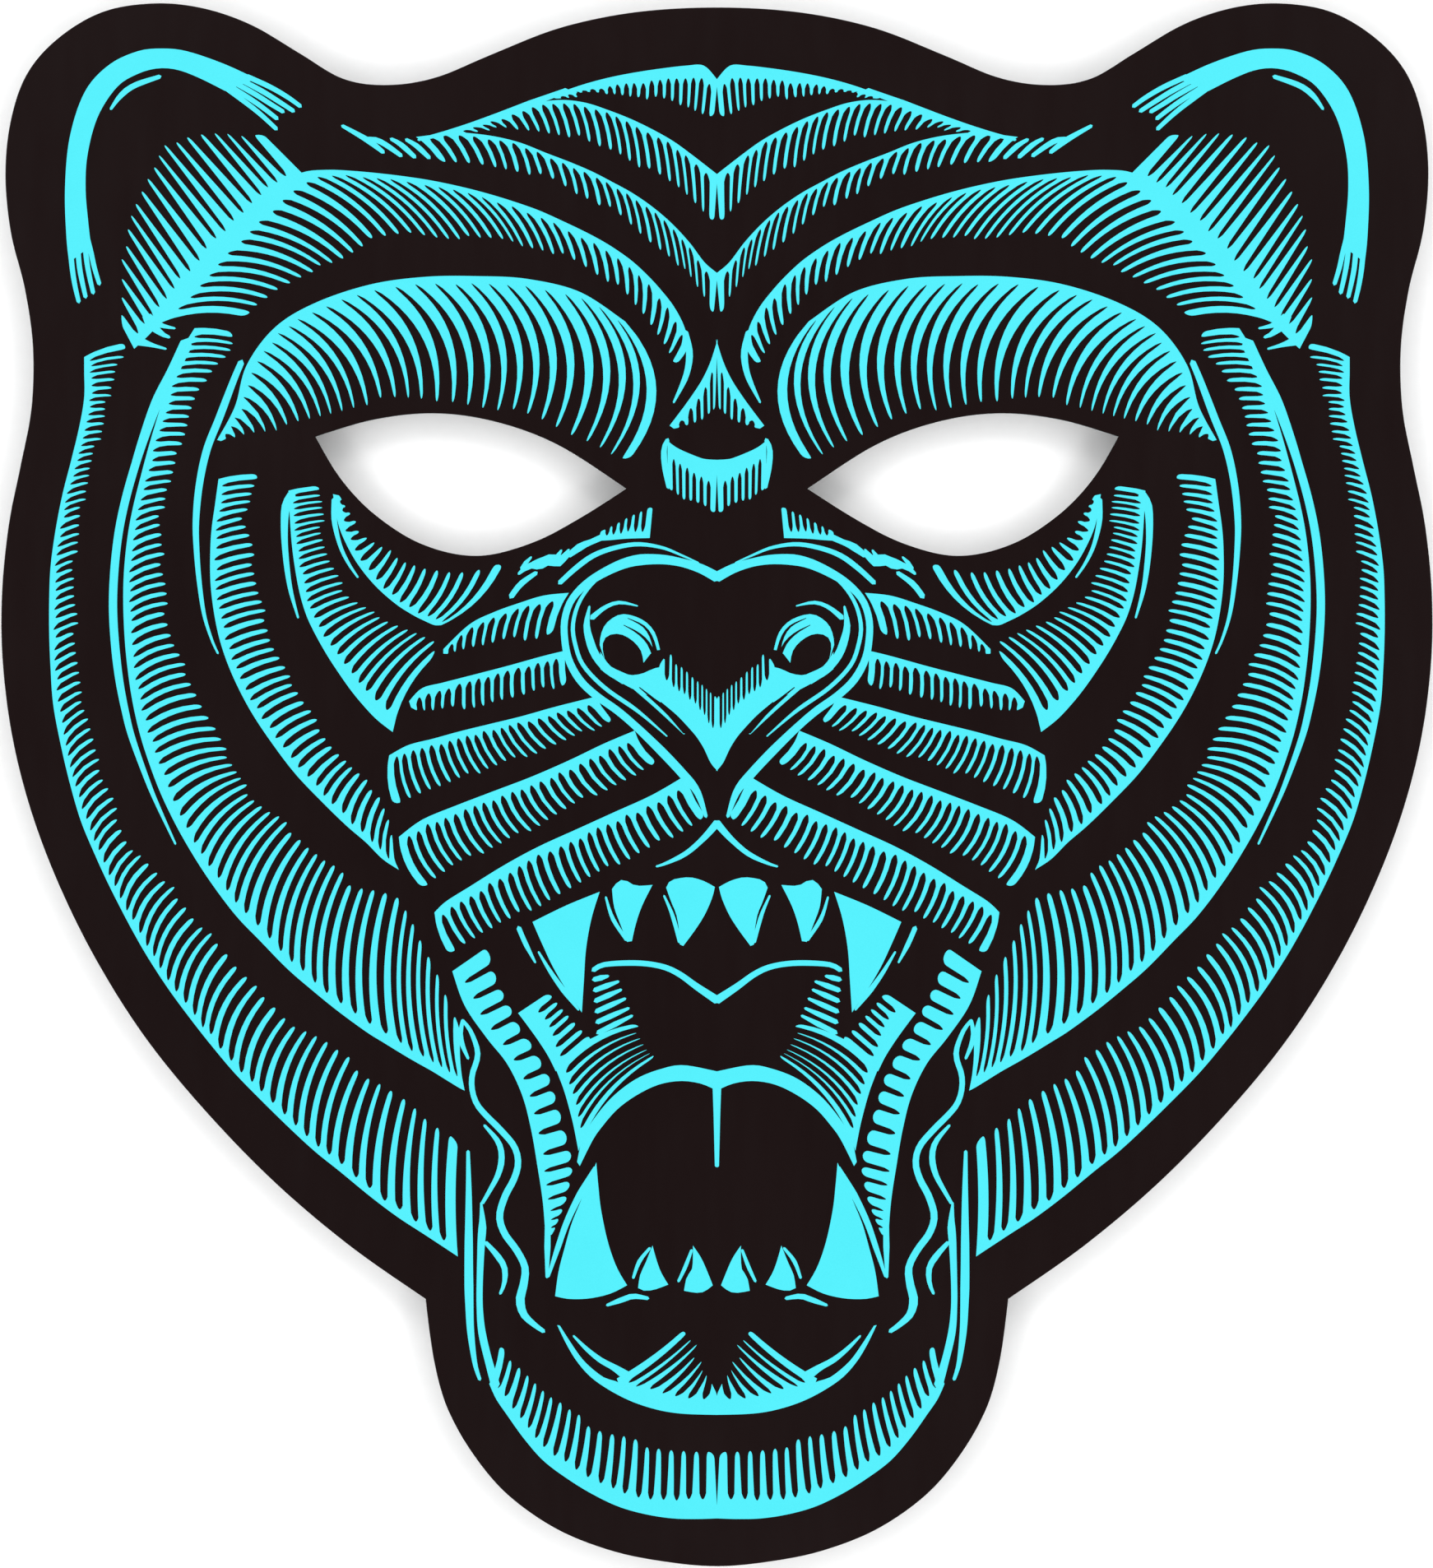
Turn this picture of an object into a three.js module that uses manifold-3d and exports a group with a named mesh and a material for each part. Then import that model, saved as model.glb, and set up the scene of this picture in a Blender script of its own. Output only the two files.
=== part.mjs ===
// Light-up tiger mask: a flat electroluminescent panel cut to the outline of a roaring tiger's head,
// with two almond eye openings, on a thin black foam backing. It lies on its back on z = 0, its face
// up (+Z), the ears towards +Y, and the origin is under the middle of its bounding box.
// The face film is opaque black with open windows; the glowing lamp sheet shows through them.
import * as THREE from "three";
import Module from "manifold-3d";

// Driving dimensions, in millimetres.
const FOAM_THICK = 4;
const LAMP_THICK = 0.75;
const FILM_THICK = 0.25;
const FOAM_SET_BACK = 0.6; // the foam is cut a little smaller than the panel that it carries
const EDGE_STEP = 2.6; // length of one facet along the outer edge and the eyes
const WINDOW_STEP = 5; // length of one facet along a window's edge
const PATCH = { width: 20, height: 30, thick: 1.5, recess: 0.3, corner: 3, x: 84, y: 43 };
const SOCKET = { width: 9, depth: 7, height: 3.2, wall: 0.9, cavity: 5, slot: 3, set_back: 1.1 };
const FIT_GAP = 0.3; // clearance round each piece that is let into the foam
const CUT_MARGIN = 1; // how far a cutting body reaches past the surface that it cuts

const LAMP_BASE = FOAM_THICK;
const FILM_BASE = LAMP_BASE + LAMP_THICK;

// Half of the outer edge, from the crown down past the ear to the corner where cheek meets chin.
const HEAD_EDGE = [
  [0, 113.4], [12, 112.7], [23, 110.4], [33, 106.5], [41, 103.2], [48, 102.1], [54.5, 103],
  [61, 106.8], [68, 110.9], [75, 113.3], [82, 114], [89.5, 112.8], [96, 109], [100.6, 103.8],
  [103, 97], [103.8, 89], [103, 80.5], [101, 72.5], [99.8, 64], [100, 55], [101.6, 46.5],
  [103.3, 38], [104.3, 28], [104.2, 18], [102.8, 7], [100, -4], [95.8, -15], [90.3, -26],
  [83.3, -37], [74.7, -47.5], [64.5, -58], [53.5, -67.3], [42.5, -75],
];
// Half of the chin's edge, from that corner to the lowest point.
const CHIN_EDGE = [
  [42.5, -75], [41.9, -80], [41, -85.3], [39.3, -91], [35.8, -97.3], [30.7, -103.4],
  [23.5, -108.5], [15.5, -111.7], [7.8, -113.3], [0, -114],
];
const CHIN_Y = -114;
// One eye opening: the upper lid from the outer to the inner corner, and the lower lid back.
const EYE_UPPER = [[58.6, 50.8], [50, 53.3], [41, 54.2], [32, 52.9], [23, 49.5], [13.2, 43.2]];
const EYE_LOWER = [
  [13.2, 43.2], [20, 38.9], [27, 35.3], [35, 33.4], [43, 35.1], [50, 39.5], [55, 44.8], [58.6, 50.8],
];

// The windows of one half of the face. Each stripe of the drawing is a band between the solid edge
// that its hatching grows from and the line where the hatching ends. Both are smooth curves through
// a few stations, and a row is one station: [edge x, edge y, end x, end y].
const BANDS = {
  ear_rim: [
    [94.2, 74, 90.3, 74], [95.1, 87, 92, 87], [92.6, 100, 89.3, 98.6], [85.5, 106.5, 84, 103.3],
    [78.5, 107.4, 78.5, 104.2], [69.5, 104.6, 71.5, 101.2], [61, 99.3, 64.8, 96.2],
  ],
  ear_tuft: [
    [84.8, 66.2, 86.6, 67.5], [79.5, 71.5, 86.3, 77.5], [73.5, 78, 83.2, 87.5],
    [68, 83.5, 77, 94.6], [61.9, 89.2, 66.3, 94.6],
  ],
  brow: [
    [83.5, 64.8, 79.5, 65.5], [70.3, 79.8, 59.5, 75.2], [61.5, 88.4, 52, 79.2],
    [50, 89, 42, 80.6], [40, 87.6, 34.5, 80], [27, 83.6, 25, 78.4], [11.5, 74.6, 10.8, 68.9],
    [5.2, 66.5, 7, 63.5], [4, 60.5, 5, 60.3],
  ],
  crown: [[22, 101, 22, 100.9], [12, 103.9, 12, 100.6], [0.9, 105, 0.9, 97.8]],
  chevron_upper: [
    [36, 96.3, 36, 96], [30, 98.3, 30, 96.2], [25.5, 99.7, 24.5, 95.5], [17, 99, 16, 93],
    [8, 94.7, 7, 88.2], [0.9, 89.2, 0.9, 83],
  ],
  chevron_lower: [
    [50.3, 94.6, 48.9, 92.5], [40, 94.7, 36.5, 90.8], [27, 92.9, 24.5, 88.1],
    [15, 87.4, 13.5, 82], [6.5, 81.6, 5.9, 76.4], [0.9, 75, 0.9, 69.3],
  ],
  upper_lid: [
    [72.3, 51, 71.5, 50.5], [66.3, 64, 60, 53.2], [54, 72.2, 46, 56.2], [38, 74.3, 34.2, 55.8],
    [22, 72.6, 21.5, 51.2], [14, 68.5, 15, 49.2], [9.4, 59.5, 13, 48],
  ],
  glabella: [[6, 52.8, 5.5, 52.5], [3, 57.3, 2.4, 53.7], [0.6, 63.2, 0.6, 55]],
  bridge: [[7.3, 50, 7, 43.6], [4, 48.2, 3.8, 41.7], [0.6, 47.6, 0.6, 40.2]],
  stripe_outer: [
    [92.4, 62.3, 87, 63.5], [94.4, 47, 91.3, 48], [97.3, 28, 93.7, 31], [96.2, 10.5, 92.6, 14],
    [90.7, -9.5, 86.6, -4.5], [82.4, -25.5, 78, -17.5], [71.4, -40, 68.5, -29],
    [58, -52.6, 54.6, -40.3], [38.3, -68.4, 38.2, -53.2],
  ],
  stripe_second: [
    [77.4, 65.8, 70.8, 65.4], [84.1, 52, 77.8, 52.8], [87.9, 35, 81.3, 36.5],
    [87.6, 16.5, 79.8, 21], [82, 0, 72.7, 8], [72.3, -15.7, 64.8, -5.3],
    [59.5, -29.3, 54.5, -13.5], [46, -39, 45.8, -17.7], [37.3, -44, 37.6, -35.5],
  ],
  stripe_third: [
    [72.5, 44.8, 67.3, 45.1], [73.9, 33, 67.7, 34.5], [71.9, 20.5, 65.5, 23],
    [66, 8.5, 59.8, 12.6], [57, -2.5, 53.3, 2.3], [47.3, -11, 48, -8.6],
  ],
  stripe_fourth: [
    [62.6, 42.2, 58.2, 43], [62, 30.3, 56.4, 32.3], [57.2, 19.6, 50, 24.5],
    [50.8, 11.4, 41.9, 20.5], [48, 8.8, 42.5, 17.5],
  ],
  stripe_under_eye: [
    [56.2, 41.8, 55.4, 41.4], [53.2, 32.2, 49.9, 34.9], [46.2, 25.7, 40.5, 30.9],
    [40.5, 23.6, 31.9, 31.3],
  ],
  whisker_first: [[22.6, 27.6, 24.2, 22.8], [30.5, 25.6, 32.2, 20.9], [38.8, 20.6, 38.9, 19.9]],
  whisker_second: [[23.6, 18.8, 23.2, 14.9], [33, 15.9, 34.3, 12], [43.8, 13.3, 44.4, 11.5]],
  whisker_third: [[18.2, 12.6, 15.3, 9.4], [31, 9.5, 27.5, 4.9], [47.6, 4.5, 47.2, -2.3]],
  whisker_fourth: [[11.6, 7.7, 8.7, 3.3], [31, -0.6, 26.3, -5.4], [46.2, -8.3, 43, -14.2]],
  whisker_fifth: [[4.5, 0.7, 2.3, -4.7], [20, -7.2, 18, -12.9], [40.8, -19, 39, -24]],
  nose_tip: [[16, 16, 15, 16.6], [10, 12.6, 9.3, 16.4], [5.8, 9.2, 5.3, 16.2], [0.6, 3.4, 0.6, 12]],
  nose_wing: [[19.2, 25.6, 18.5, 25.4], [19.3, 22, 17.8, 22.3], [18.2, 18.4, 16.8, 19.1]],
  nostril_rim: [
    [16.8, 21.4, 16.3, 21.6], [15, 24.1, 14.6, 22.3], [12, 24.6, 12.2, 21.8], [8.6, 20, 10.4, 18.2],
  ],
  muzzle_arch: [
    [21.8, 24.8, 20.7, 24.2], [19.8, 29.2, 18.6, 28.4], [15, 32.9, 14.5, 31.4],
    [9, 33.8, 9, 32.3], [0.6, 31, 0.6, 29.7],
  ],
  gum: [
    [38.3, -26.9, 34, -24.2], [31, -38.6, 27.7, -37], [26.3, -53, 22.1, -53.5],
    [24.9, -67, 24.2, -66],
  ],
  inner_cheek: [
    [28.5, -33.2, 24.7, -31], [25, -38.8, 19.4, -37.2], [22.9, -43.5, 13.2, -37.2],
    [21.4, -48.3, 11.2, -41.2],
  ],
  tongue_edge: [
    [20.2, -54.2, 19.5, -54.4], [13.2, -45.3, 12.1, -47.1], [7.5, -42.5, 7.1, -44.4],
    [0.6, -41.9, 0.6, -44],
  ],
  chin_hatch: [
    [23, -79.8, 22.6, -79.6], [19, -84.7, 18.4, -83.9], [14.6, -88.3, 12.5, -86.3],
    [9, -90.6, 5.5, -82], [3.5, -91.6, 2.5, -84.6], [0.6, -91.6, 0.6, -88.5],
  ],
  jaw_hatch: [
    [34.6, -76, 34, -76], [31, -91.2, 29, -85], [21.8, -101, 21.2, -91.8], [8, -106.5, 8.3, -97],
    [0.6, -106.8, 0.6, -97.6],
  ],
};

// Teeth are solid windows: the corners of each, joined by straight edges.
const TEETH = {
  upper_canine: [[17, -15.6], [26.4, -19.8], [23.8, -26.6], [20, -32.8], [19.3, -28], [18.3, -22]],
  upper_incisor_outer: [
    [15.2, -14.8], [13.8, -14], [9.8, -15], [11.4, -18.8], [12.7, -22.6], [14.2, -20.3],
  ],
  upper_incisor_inner: [[7.2, -14.5], [4.5, -13.8], [0.6, -15], [2.3, -19], [4.9, -22.9], [6, -18.4]],
  lower_canine: [
    [17.4, -55.6], [20.4, -61], [22.8, -67], [23.6, -74.2], [19.5, -74.8], [13.4, -73.3],
    [15.8, -65.5],
  ],
  lower_incisor_outer: [[9.6, -67.7], [10.9, -70.6], [11.5, -73.3], [9.5, -73.6], [7.2, -73.2]],
  lower_incisor_inner: [[3.4, -67.6], [4.2, -71.5], [4.8, -73.4], [2.6, -73.8], [0.8, -73.2]],
};

const wasm = await Module();
wasm.setup();

const vectors = (rows) => rows.map(([x, y]) => new THREE.Vector2(x, y));
const mirrored = (points) => points.map((p) => new THREE.Vector2(-p.x, p.y)).reverse();

// Points along a smooth curve through hand-set points, evenly spaced about one step apart.
function along(points, step) {
  const curve = new THREE.SplineCurve(points);
  return curve.getSpacedPoints(Math.max(2, Math.round(curve.getLength() / step)));
}

// One closed outline out of stretches that each start where the last one ends.
function joined(...stretches) {
  return stretches.flatMap((points) => points.slice(0, -1));
}

// A closed edge moved to the right of its direction, which is into the material for the clockwise
// outer edge and for the anticlockwise eyes alike.
function setBack(points, distance) {
  return points.map((p, i) => {
    const before = points.at(i - 1);
    const after = points[(i + 1) % points.length];
    const direction = after.clone().sub(before).normalize();
    return new THREE.Vector2(p.x + direction.y * distance, p.y - direction.x * distance);
  });
}

const HEAD = vectors(HEAD_EDGE);
const CHIN = vectors(CHIN_EDGE);
const outerEdge = joined(
  along([...mirrored(HEAD), ...HEAD.slice(1)], EDGE_STEP),
  along([...CHIN, ...mirrored(CHIN).slice(1)], EDGE_STEP),
);
const rightEye = joined(along(vectors(EYE_UPPER), EDGE_STEP), along(vectors(EYE_LOWER), EDGE_STEP));
const eyes = [rightEye, mirrored(rightEye)];

// A flat sheet of even thickness with the given edge and openings, standing on the given height.
function sheet(edge, openings, base, thick) {
  const shape = new THREE.Shape(edge);
  shape.holes = openings.map((points) => new THREE.Path(points));
  return new THREE.ExtrudeGeometry(shape, { depth: thick, bevelEnabled: false })
    .translate(0, 0, base);
}

// The edge of a rectangle with rounded corners, centred on a point.
function roundedRectangle({ x, y, width, height, corner }) {
  const shape = new THREE.Shape();
  const [left, right] = [x - width / 2 + corner, x + width / 2 - corner];
  const [low, high] = [y - height / 2 + corner, y + height / 2 - corner];
  shape.absarc(right, low, corner, -Math.PI / 2, 0);
  shape.absarc(right, high, corner, 0, Math.PI / 2);
  shape.absarc(left, high, corner, Math.PI / 2, Math.PI);
  shape.absarc(left, low, corner, Math.PI, 1.5 * Math.PI);
  return shape.getPoints(3).slice(0, -1);
}

// A geometry as a solid that can be cut, with the vertices that its faces share merged.
function solid(geometry) {
  const corners = geometry.index ? geometry.toNonIndexed() : geometry;
  const position = corners.getAttribute("position");
  const seen = new Map();
  const vertProperties = [];
  const triVerts = new Uint32Array(position.count);
  for (let i = 0; i < position.count; i++) {
    const point = [position.getX(i), position.getY(i), position.getZ(i)];
    const key = point.map((v) => v.toFixed(4)).join();
    if (!seen.has(key)) {
      seen.set(key, seen.size);
      vertProperties.push(...point);
    }
    triVerts[i] = seen.get(key);
  }
  const vertices = new Float32Array(vertProperties);
  return new wasm.Manifold(new wasm.Mesh({ numProp: 3, vertProperties: vertices, triVerts }));
}

function geometryOf(body) {
  const { vertProperties, triVerts } = body.getMesh();
  return new THREE.BufferGeometry()
    .setAttribute("position", new THREE.BufferAttribute(vertProperties, 3))
    .setIndex(new THREE.BufferAttribute(triVerts, 1))
    .toNonIndexed();
}

function withCuts(geometry, cutters) {
  return geometryOf(cutters.reduce((body, cutter) => body.subtract(solid(cutter)), solid(geometry)));
}

// The closed outline of a band: out along its solid edge and back along the ends of its hatching.
function bandOutline(rows) {
  const edge = along(vectors(rows), WINDOW_STEP);
  const ends = along(vectors(rows.map(([, , x, y]) => [x, y])), WINDOW_STEP);
  return [...edge, ...ends.reverse()];
}

// The black film over the lamp, with a window for every band and tooth of both halves.
function faceFilm() {
  const half = [...Object.values(BANDS).map(bandOutline), ...Object.values(TEETH).map(vectors)];
  const windows = half.flatMap((points) => [points, mirrored(points)]);
  const depth = FILM_THICK + 2 * CUT_MARGIN;
  const cutters = windows.map((points) => sheet(points, [], FILM_BASE - CUT_MARGIN, depth));
  return withCuts(sheet(outerEdge, eyes, FILM_BASE, FILM_THICK), cutters);
}

function lampSheet() {
  return sheet(outerEdge, eyes, LAMP_BASE, LAMP_THICK);
}

function strapPatch() {
  return sheet(roundedRectangle({ ...PATCH, x: 0, y: 0 }), [], 0, PATCH.thick);
}

// The socket's housing lies along Y with its mouth at the chin's edge and a key slot in its top wall.
function leadSocket() {
  const { width, depth, height, wall, cavity, slot } = SOCKET;
  const housing = new THREE.BoxGeometry(width, depth, height);
  const mouth = new THREE.BoxGeometry(width - 2 * wall, 2 * cavity, height - 2 * wall)
    .translate(0, -depth / 2, 0);
  const key = new THREE.BoxGeometry(slot, cavity, height).translate(0, -depth / 2, height / 2);
  return withCuts(housing, [mouth, key]);
}

// The foam plate, with a pocket in its back for each strap patch and a notch for the lead socket.
function foamBacking() {
  const openings = eyes.map((edge) => setBack(edge, FOAM_SET_BACK));
  const plate = sheet(setBack(outerEdge, FOAM_SET_BACK), openings, 0, FOAM_THICK);
  const patchPocket = (side) => {
    const width = PATCH.width + 2 * FIT_GAP;
    const height = PATCH.height + 2 * FIT_GAP;
    const edge = roundedRectangle({ ...PATCH, x: side * PATCH.x, width, height });
    return sheet(edge, [], -CUT_MARGIN, CUT_MARGIN + PATCH.recess + PATCH.thick + FIT_GAP);
  };
  const notchDepth = SOCKET.set_back + SOCKET.depth + FIT_GAP;
  const notch = new THREE.BoxGeometry(SOCKET.width + 2 * FIT_GAP, 2 * notchDepth, 3 * FOAM_THICK)
    .translate(0, CHIN_Y, 0);
  return withCuts(plate, [patchPocket(-1), patchPocket(1), notch]);
}

const printedBlack = new THREE.MeshStandardMaterial({ color: 0x211718, roughness: 0.42 });
const litPhosphor = new THREE.MeshStandardMaterial({
  color: 0x57f2fd, emissive: 0x57f2fd, emissiveIntensity: 0.5, roughness: 0.42,
});
const blackFoam = new THREE.MeshStandardMaterial({ color: 0x1c1b1d, roughness: 0.95 });
const hookTape = new THREE.MeshStandardMaterial({ color: 0x141416, roughness: 0.85 });
const socketPlastic = new THREE.MeshStandardMaterial({ color: 0xe4e1d8, roughness: 0.5 });

const mask = new THREE.Group();

function place(name, geometry, material, x = 0, y = 0, z = 0) {
  const mesh = new THREE.Mesh(geometry, material);
  mesh.name = name;
  mesh.position.set(x, y, z);
  mask.add(mesh);
}

// The socket hangs from the lamp's underside, a hair below it so that the two don't touch.
const SOCKET_DROP = 0.05;
const socketY = CHIN_Y + SOCKET.set_back + SOCKET.depth / 2;
const socketZ = FOAM_THICK - SOCKET_DROP - SOCKET.height / 2;

place("foam_backing", foamBacking(), blackFoam);
place("lamp_sheet", lampSheet(), litPhosphor);
place("face_film", faceFilm(), printedBlack);
place("strap_patch_right", strapPatch(), hookTape, PATCH.x, PATCH.y, PATCH.recess);
place("strap_patch_left", strapPatch(), hookTape, -PATCH.x, PATCH.y, PATCH.recess);
place("lead_socket", leadSocket(), socketPlastic, 0, socketY, socketZ);

export default mask;
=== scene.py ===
"""Light-up tiger mask: a flat electroluminescent panel on black foam, lying on its back."""
import math
import random

import bmesh
import bpy
from mathutils import Matrix, Vector, geometry


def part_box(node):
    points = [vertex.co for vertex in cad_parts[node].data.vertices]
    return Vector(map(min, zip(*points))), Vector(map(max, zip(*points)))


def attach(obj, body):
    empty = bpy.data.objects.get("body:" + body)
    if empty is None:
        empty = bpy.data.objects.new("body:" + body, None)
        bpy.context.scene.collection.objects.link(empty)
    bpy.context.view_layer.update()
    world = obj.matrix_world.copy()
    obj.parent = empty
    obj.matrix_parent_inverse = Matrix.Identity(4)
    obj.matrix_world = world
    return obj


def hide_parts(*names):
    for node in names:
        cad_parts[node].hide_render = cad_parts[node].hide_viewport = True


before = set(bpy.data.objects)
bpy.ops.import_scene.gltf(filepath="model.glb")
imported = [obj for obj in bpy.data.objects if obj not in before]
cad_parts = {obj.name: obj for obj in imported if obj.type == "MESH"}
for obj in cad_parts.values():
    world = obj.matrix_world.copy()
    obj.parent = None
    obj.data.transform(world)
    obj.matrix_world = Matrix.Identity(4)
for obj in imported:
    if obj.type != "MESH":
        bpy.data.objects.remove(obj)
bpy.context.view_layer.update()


# Foam backing: the plate of black closed-cell foam that carries the lamp and touches the face.
# It is knife-cut from 4 mm sheet, a little smaller than the lamp, with a pocket for each strap
# patch and a notch for the lead's socket, and it is glued all over to the lamp's back.
MM = 0.001
CURVE_PARTS = 12
EDGE_STEP = 0.7
SHARP_CORNER = math.radians(35)
SMOOTH_BELOW = math.radians(35)
LONG_SIDE = 5
WELD = 0.001
SAME_POINT = 0.0001
ONLY_INSIDE = 1
LEVEL = 0.99
SHORTEST_MITRE = 0.8
EDGE_BULGE = 0.3
FOAM_BOTTOM_ROUND = 0.3
FOAM_TOP_ROUND = 0.12
FOAM_KNIFE_HOLLOW = 0.07
POCKET_ROUND = 0.15
POCKET_ABOVE_TAPE = 0.3
FOAM_CELL = 0.45


def curve_through(points, closed=False):
    """Close points on a smooth curve that passes through wide ones."""
    count = len(points)
    fine = []
    for i in range(count if closed else count - 1):
        if closed:
            a, b, c, d = (points[(i + k) % count] for k in (-1, 0, 1, 2))
        else:
            a, b, c, d = (points[min(max(i + k, 0), count - 1)] for k in (-1, 0, 1, 2))
        for k in range(CURVE_PARTS):
            t = k / CURVE_PARTS
            fine.append(tuple(
                q + 0.5 * t * (r - p + t * (2 * p - 5 * q + 4 * r - s + t * (3 * (q - r) + s - p)))
                for p, q, r, s in zip(a, b, c, d)))
    fine.append(tuple(points[0] if closed else points[-1]))
    return fine


def run_lengths(points):
    """How far along a line each of its points is."""
    marks = [0.0]
    for a, b in zip(points, points[1:]):
        marks.append(marks[-1] + math.hypot(b[0] - a[0], b[1] - a[1]))
    return marks


def point_at(points, marks, where):
    """The point at a distance along a line of close points."""
    low, high = 0, len(marks) - 1
    while high - low > 1:
        middle = (low + high) // 2
        if marks[middle] <= where:
            low = middle
        else:
            high = middle
    part = (where - marks[low]) / max(marks[high] - marks[low], 1e-9)
    return tuple(a + part * (b - a) for a, b in zip(points[low], points[high]))


def evenly(points, step, closed=False):
    """Points at equal steps, in mm, on the smooth curve through others."""
    fine = curve_through(points, closed)
    marks = run_lengths(fine)
    count = max(1, round(marks[-1] / step))
    spots = [point_at(fine, marks, marks[-1] * i / count) for i in range(count + 1)]
    return spots[:-1] if closed else spots


def area_of(loop):
    """A loop's area, positive when it runs anticlockwise."""
    return 0.5 * sum(a[0] * b[1] - b[0] * a[1] for a, b in zip(loop, loop[1:] + loop[:1]))


def rounded(loop):
    """A loop of straight steps, made round between its corners and its long straight sides."""
    ends = []
    for i, (x, y) in enumerate(loop):
        px, py = loop[i - 1]
        nx, ny = loop[(i + 1) % len(loop)]
        turn = math.atan2(ny - y, nx - x) - math.atan2(y - py, x - px)
        longest = max(math.hypot(nx - x, ny - y), math.hypot(x - px, y - py))
        if abs(math.remainder(turn, math.tau)) > SHARP_CORNER or longest > LONG_SIDE:
            ends.append(i)
    if not ends:
        return evenly(loop, EDGE_STEP, closed=True)
    out = []
    for start, end in zip(ends, ends[1:] + [ends[0] + len(loop)]):
        stretch = [loop[k % len(loop)] for k in range(start, end + 1)]
        out += evenly(stretch, EDGE_STEP)[:-1]
    return out


def rims(node, height):
    """The edges of a node's flat face at a height, in mm: the outside first, then the holes."""
    mesh = bmesh.new()
    mesh.from_mesh(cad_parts[node].data)
    bmesh.ops.remove_doubles(mesh, verts=mesh.verts, dist=WELD * MM)
    mesh.normal_update()
    flat = [face for face in mesh.faces
            if abs(face.normal.z) > LEVEL
            and abs(face.calc_center_median().z - height * MM) < 10 * WELD * MM]
    among = set(flat)
    after = {}
    for face in flat:
        for corner in face.loops:
            if not any(other in among for other in corner.edge.link_faces if other is not face):
                after[corner.vert] = corner.link_loop_next.vert
    loops = []
    while after:
        start, spot = after.popitem()
        walk = [start]
        while spot is not start:
            walk.append(spot)
            spot = after.pop(spot)
        loops.append([(vert.co.x / MM, vert.co.y / MM) for vert in walk])
    mesh.free()
    loops.sort(key=lambda loop: -abs(area_of(loop)))
    if area_of(loops[0]) < 0:
        loops = [loop[::-1] for loop in loops]
    return [rounded(loop) for loop in loops]


def set_back(loop, distance):
    """A loop moved to its left, into the plate, by a distance."""
    if not distance:
        return list(loop)
    moved = []
    for i, (x, y) in enumerate(loop):
        before = Vector((x - loop[i - 1][0], y - loop[i - 1][1])).normalized()
        ahead = loop[(i + 1) % len(loop)]
        after = Vector((ahead[0] - x, ahead[1] - y)).normalized()
        left = Vector((-before.y - after.y, before.x + after.x))
        reach = distance * 2 / max(left.length_squared, SHORTEST_MITRE)
        moved.append((x + left.x * reach, y + left.y * reach))
    return moved


def soft_edge(size, height, up=1):
    """Rings of (set back, height) for a rounded edge, from a flat face to its wall."""
    return [
        (size, height),
        (size * EDGE_BULGE, height + up * size * EDGE_BULGE),
        (0.0, height + up * size),
    ]


def add_walls(mesh, loops, profile):
    """Walls through rings of (set back, height) in mm, from the bottom up."""
    for loop in loops:
        rings = [[mesh.verts.new((x * MM, y * MM, height * MM)) for x, y in set_back(loop, inset)]
                 for inset, height in profile]
        for below, above in zip(rings, rings[1:]):
            for i in range(len(loop)):
                mesh.faces.new((below[i - 1], below[i], above[i], above[i - 1]))


def add_face(mesh, loops, height, up=True, inlays=()):
    """A flat face within loops: the outside, then holes. inlays are (shape, material) pairs."""
    rings = [loops[0]] + [loop[::-1] for loop in loops[1:]] + [shape for shape, _ in inlays]
    points, borders = [], []
    for ring in rings:
        borders.append(list(range(len(points), len(points) + len(ring))))
        points += [Vector(point) for point in ring]
    spots, _, triangles, _, _, inside = geometry.delaunay_2d_cdt(
        points, [], borders, ONLY_INSIDE, SAME_POINT)
    verts = [mesh.verts.new((spot.x * MM, spot.y * MM, height * MM)) for spot in spots]
    holes = range(1, len(loops))
    for triangle, within in zip(triangles, inside):
        if 0 not in within or any(hole in within for hole in holes):
            continue
        corners = [verts[i] for i in (triangle if up else triangle[::-1])]
        face = mesh.faces.new(corners)
        top = max(within)
        face.material_index = inlays[top - len(loops)][1] if top >= len(loops) else 0


def finished(name, mesh, materials, turn=None):
    """A mesh as a piece of the mask, with its seams closed and its sharp edges kept."""
    bmesh.ops.remove_doubles(mesh, verts=mesh.verts, dist=WELD * MM / 10)
    loose = [vert for vert in mesh.verts if not vert.link_faces]
    bmesh.ops.delete(mesh, geom=loose, context="VERTS")
    if turn:
        bmesh.ops.transform(mesh, matrix=turn, verts=mesh.verts)
    data = bpy.data.meshes.new(name)
    mesh.to_mesh(data)
    mesh.free()
    data.shade_smooth()
    data.set_sharp_from_angle(angle=SMOOTH_BELOW)
    for material in materials:
        data.materials.append(material)
    piece = bpy.data.objects.new(name, data)
    bpy.context.scene.collection.objects.link(piece)
    return piece


class Value:
    """An output of a material's nodes, so that shader maths reads as arithmetic."""

    def __init__(self, socket):
        self.socket = socket

    def maths(self, operation, first, second):
        node = self.socket.id_data.nodes.new("ShaderNodeMath")
        node.operation = operation
        feed(node.inputs[0], first)
        feed(node.inputs[1], second)
        return Value(node.outputs[0])

    def __add__(self, other):
        return self.maths("ADD", self, other)

    def __radd__(self, other):
        return self.maths("ADD", other, self)

    def __sub__(self, other):
        return self.maths("SUBTRACT", self, other)

    def __rsub__(self, other):
        return self.maths("SUBTRACT", other, self)

    def __mul__(self, other):
        return self.maths("MULTIPLY", self, other)

    def __rmul__(self, other):
        return self.maths("MULTIPLY", other, self)


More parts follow.
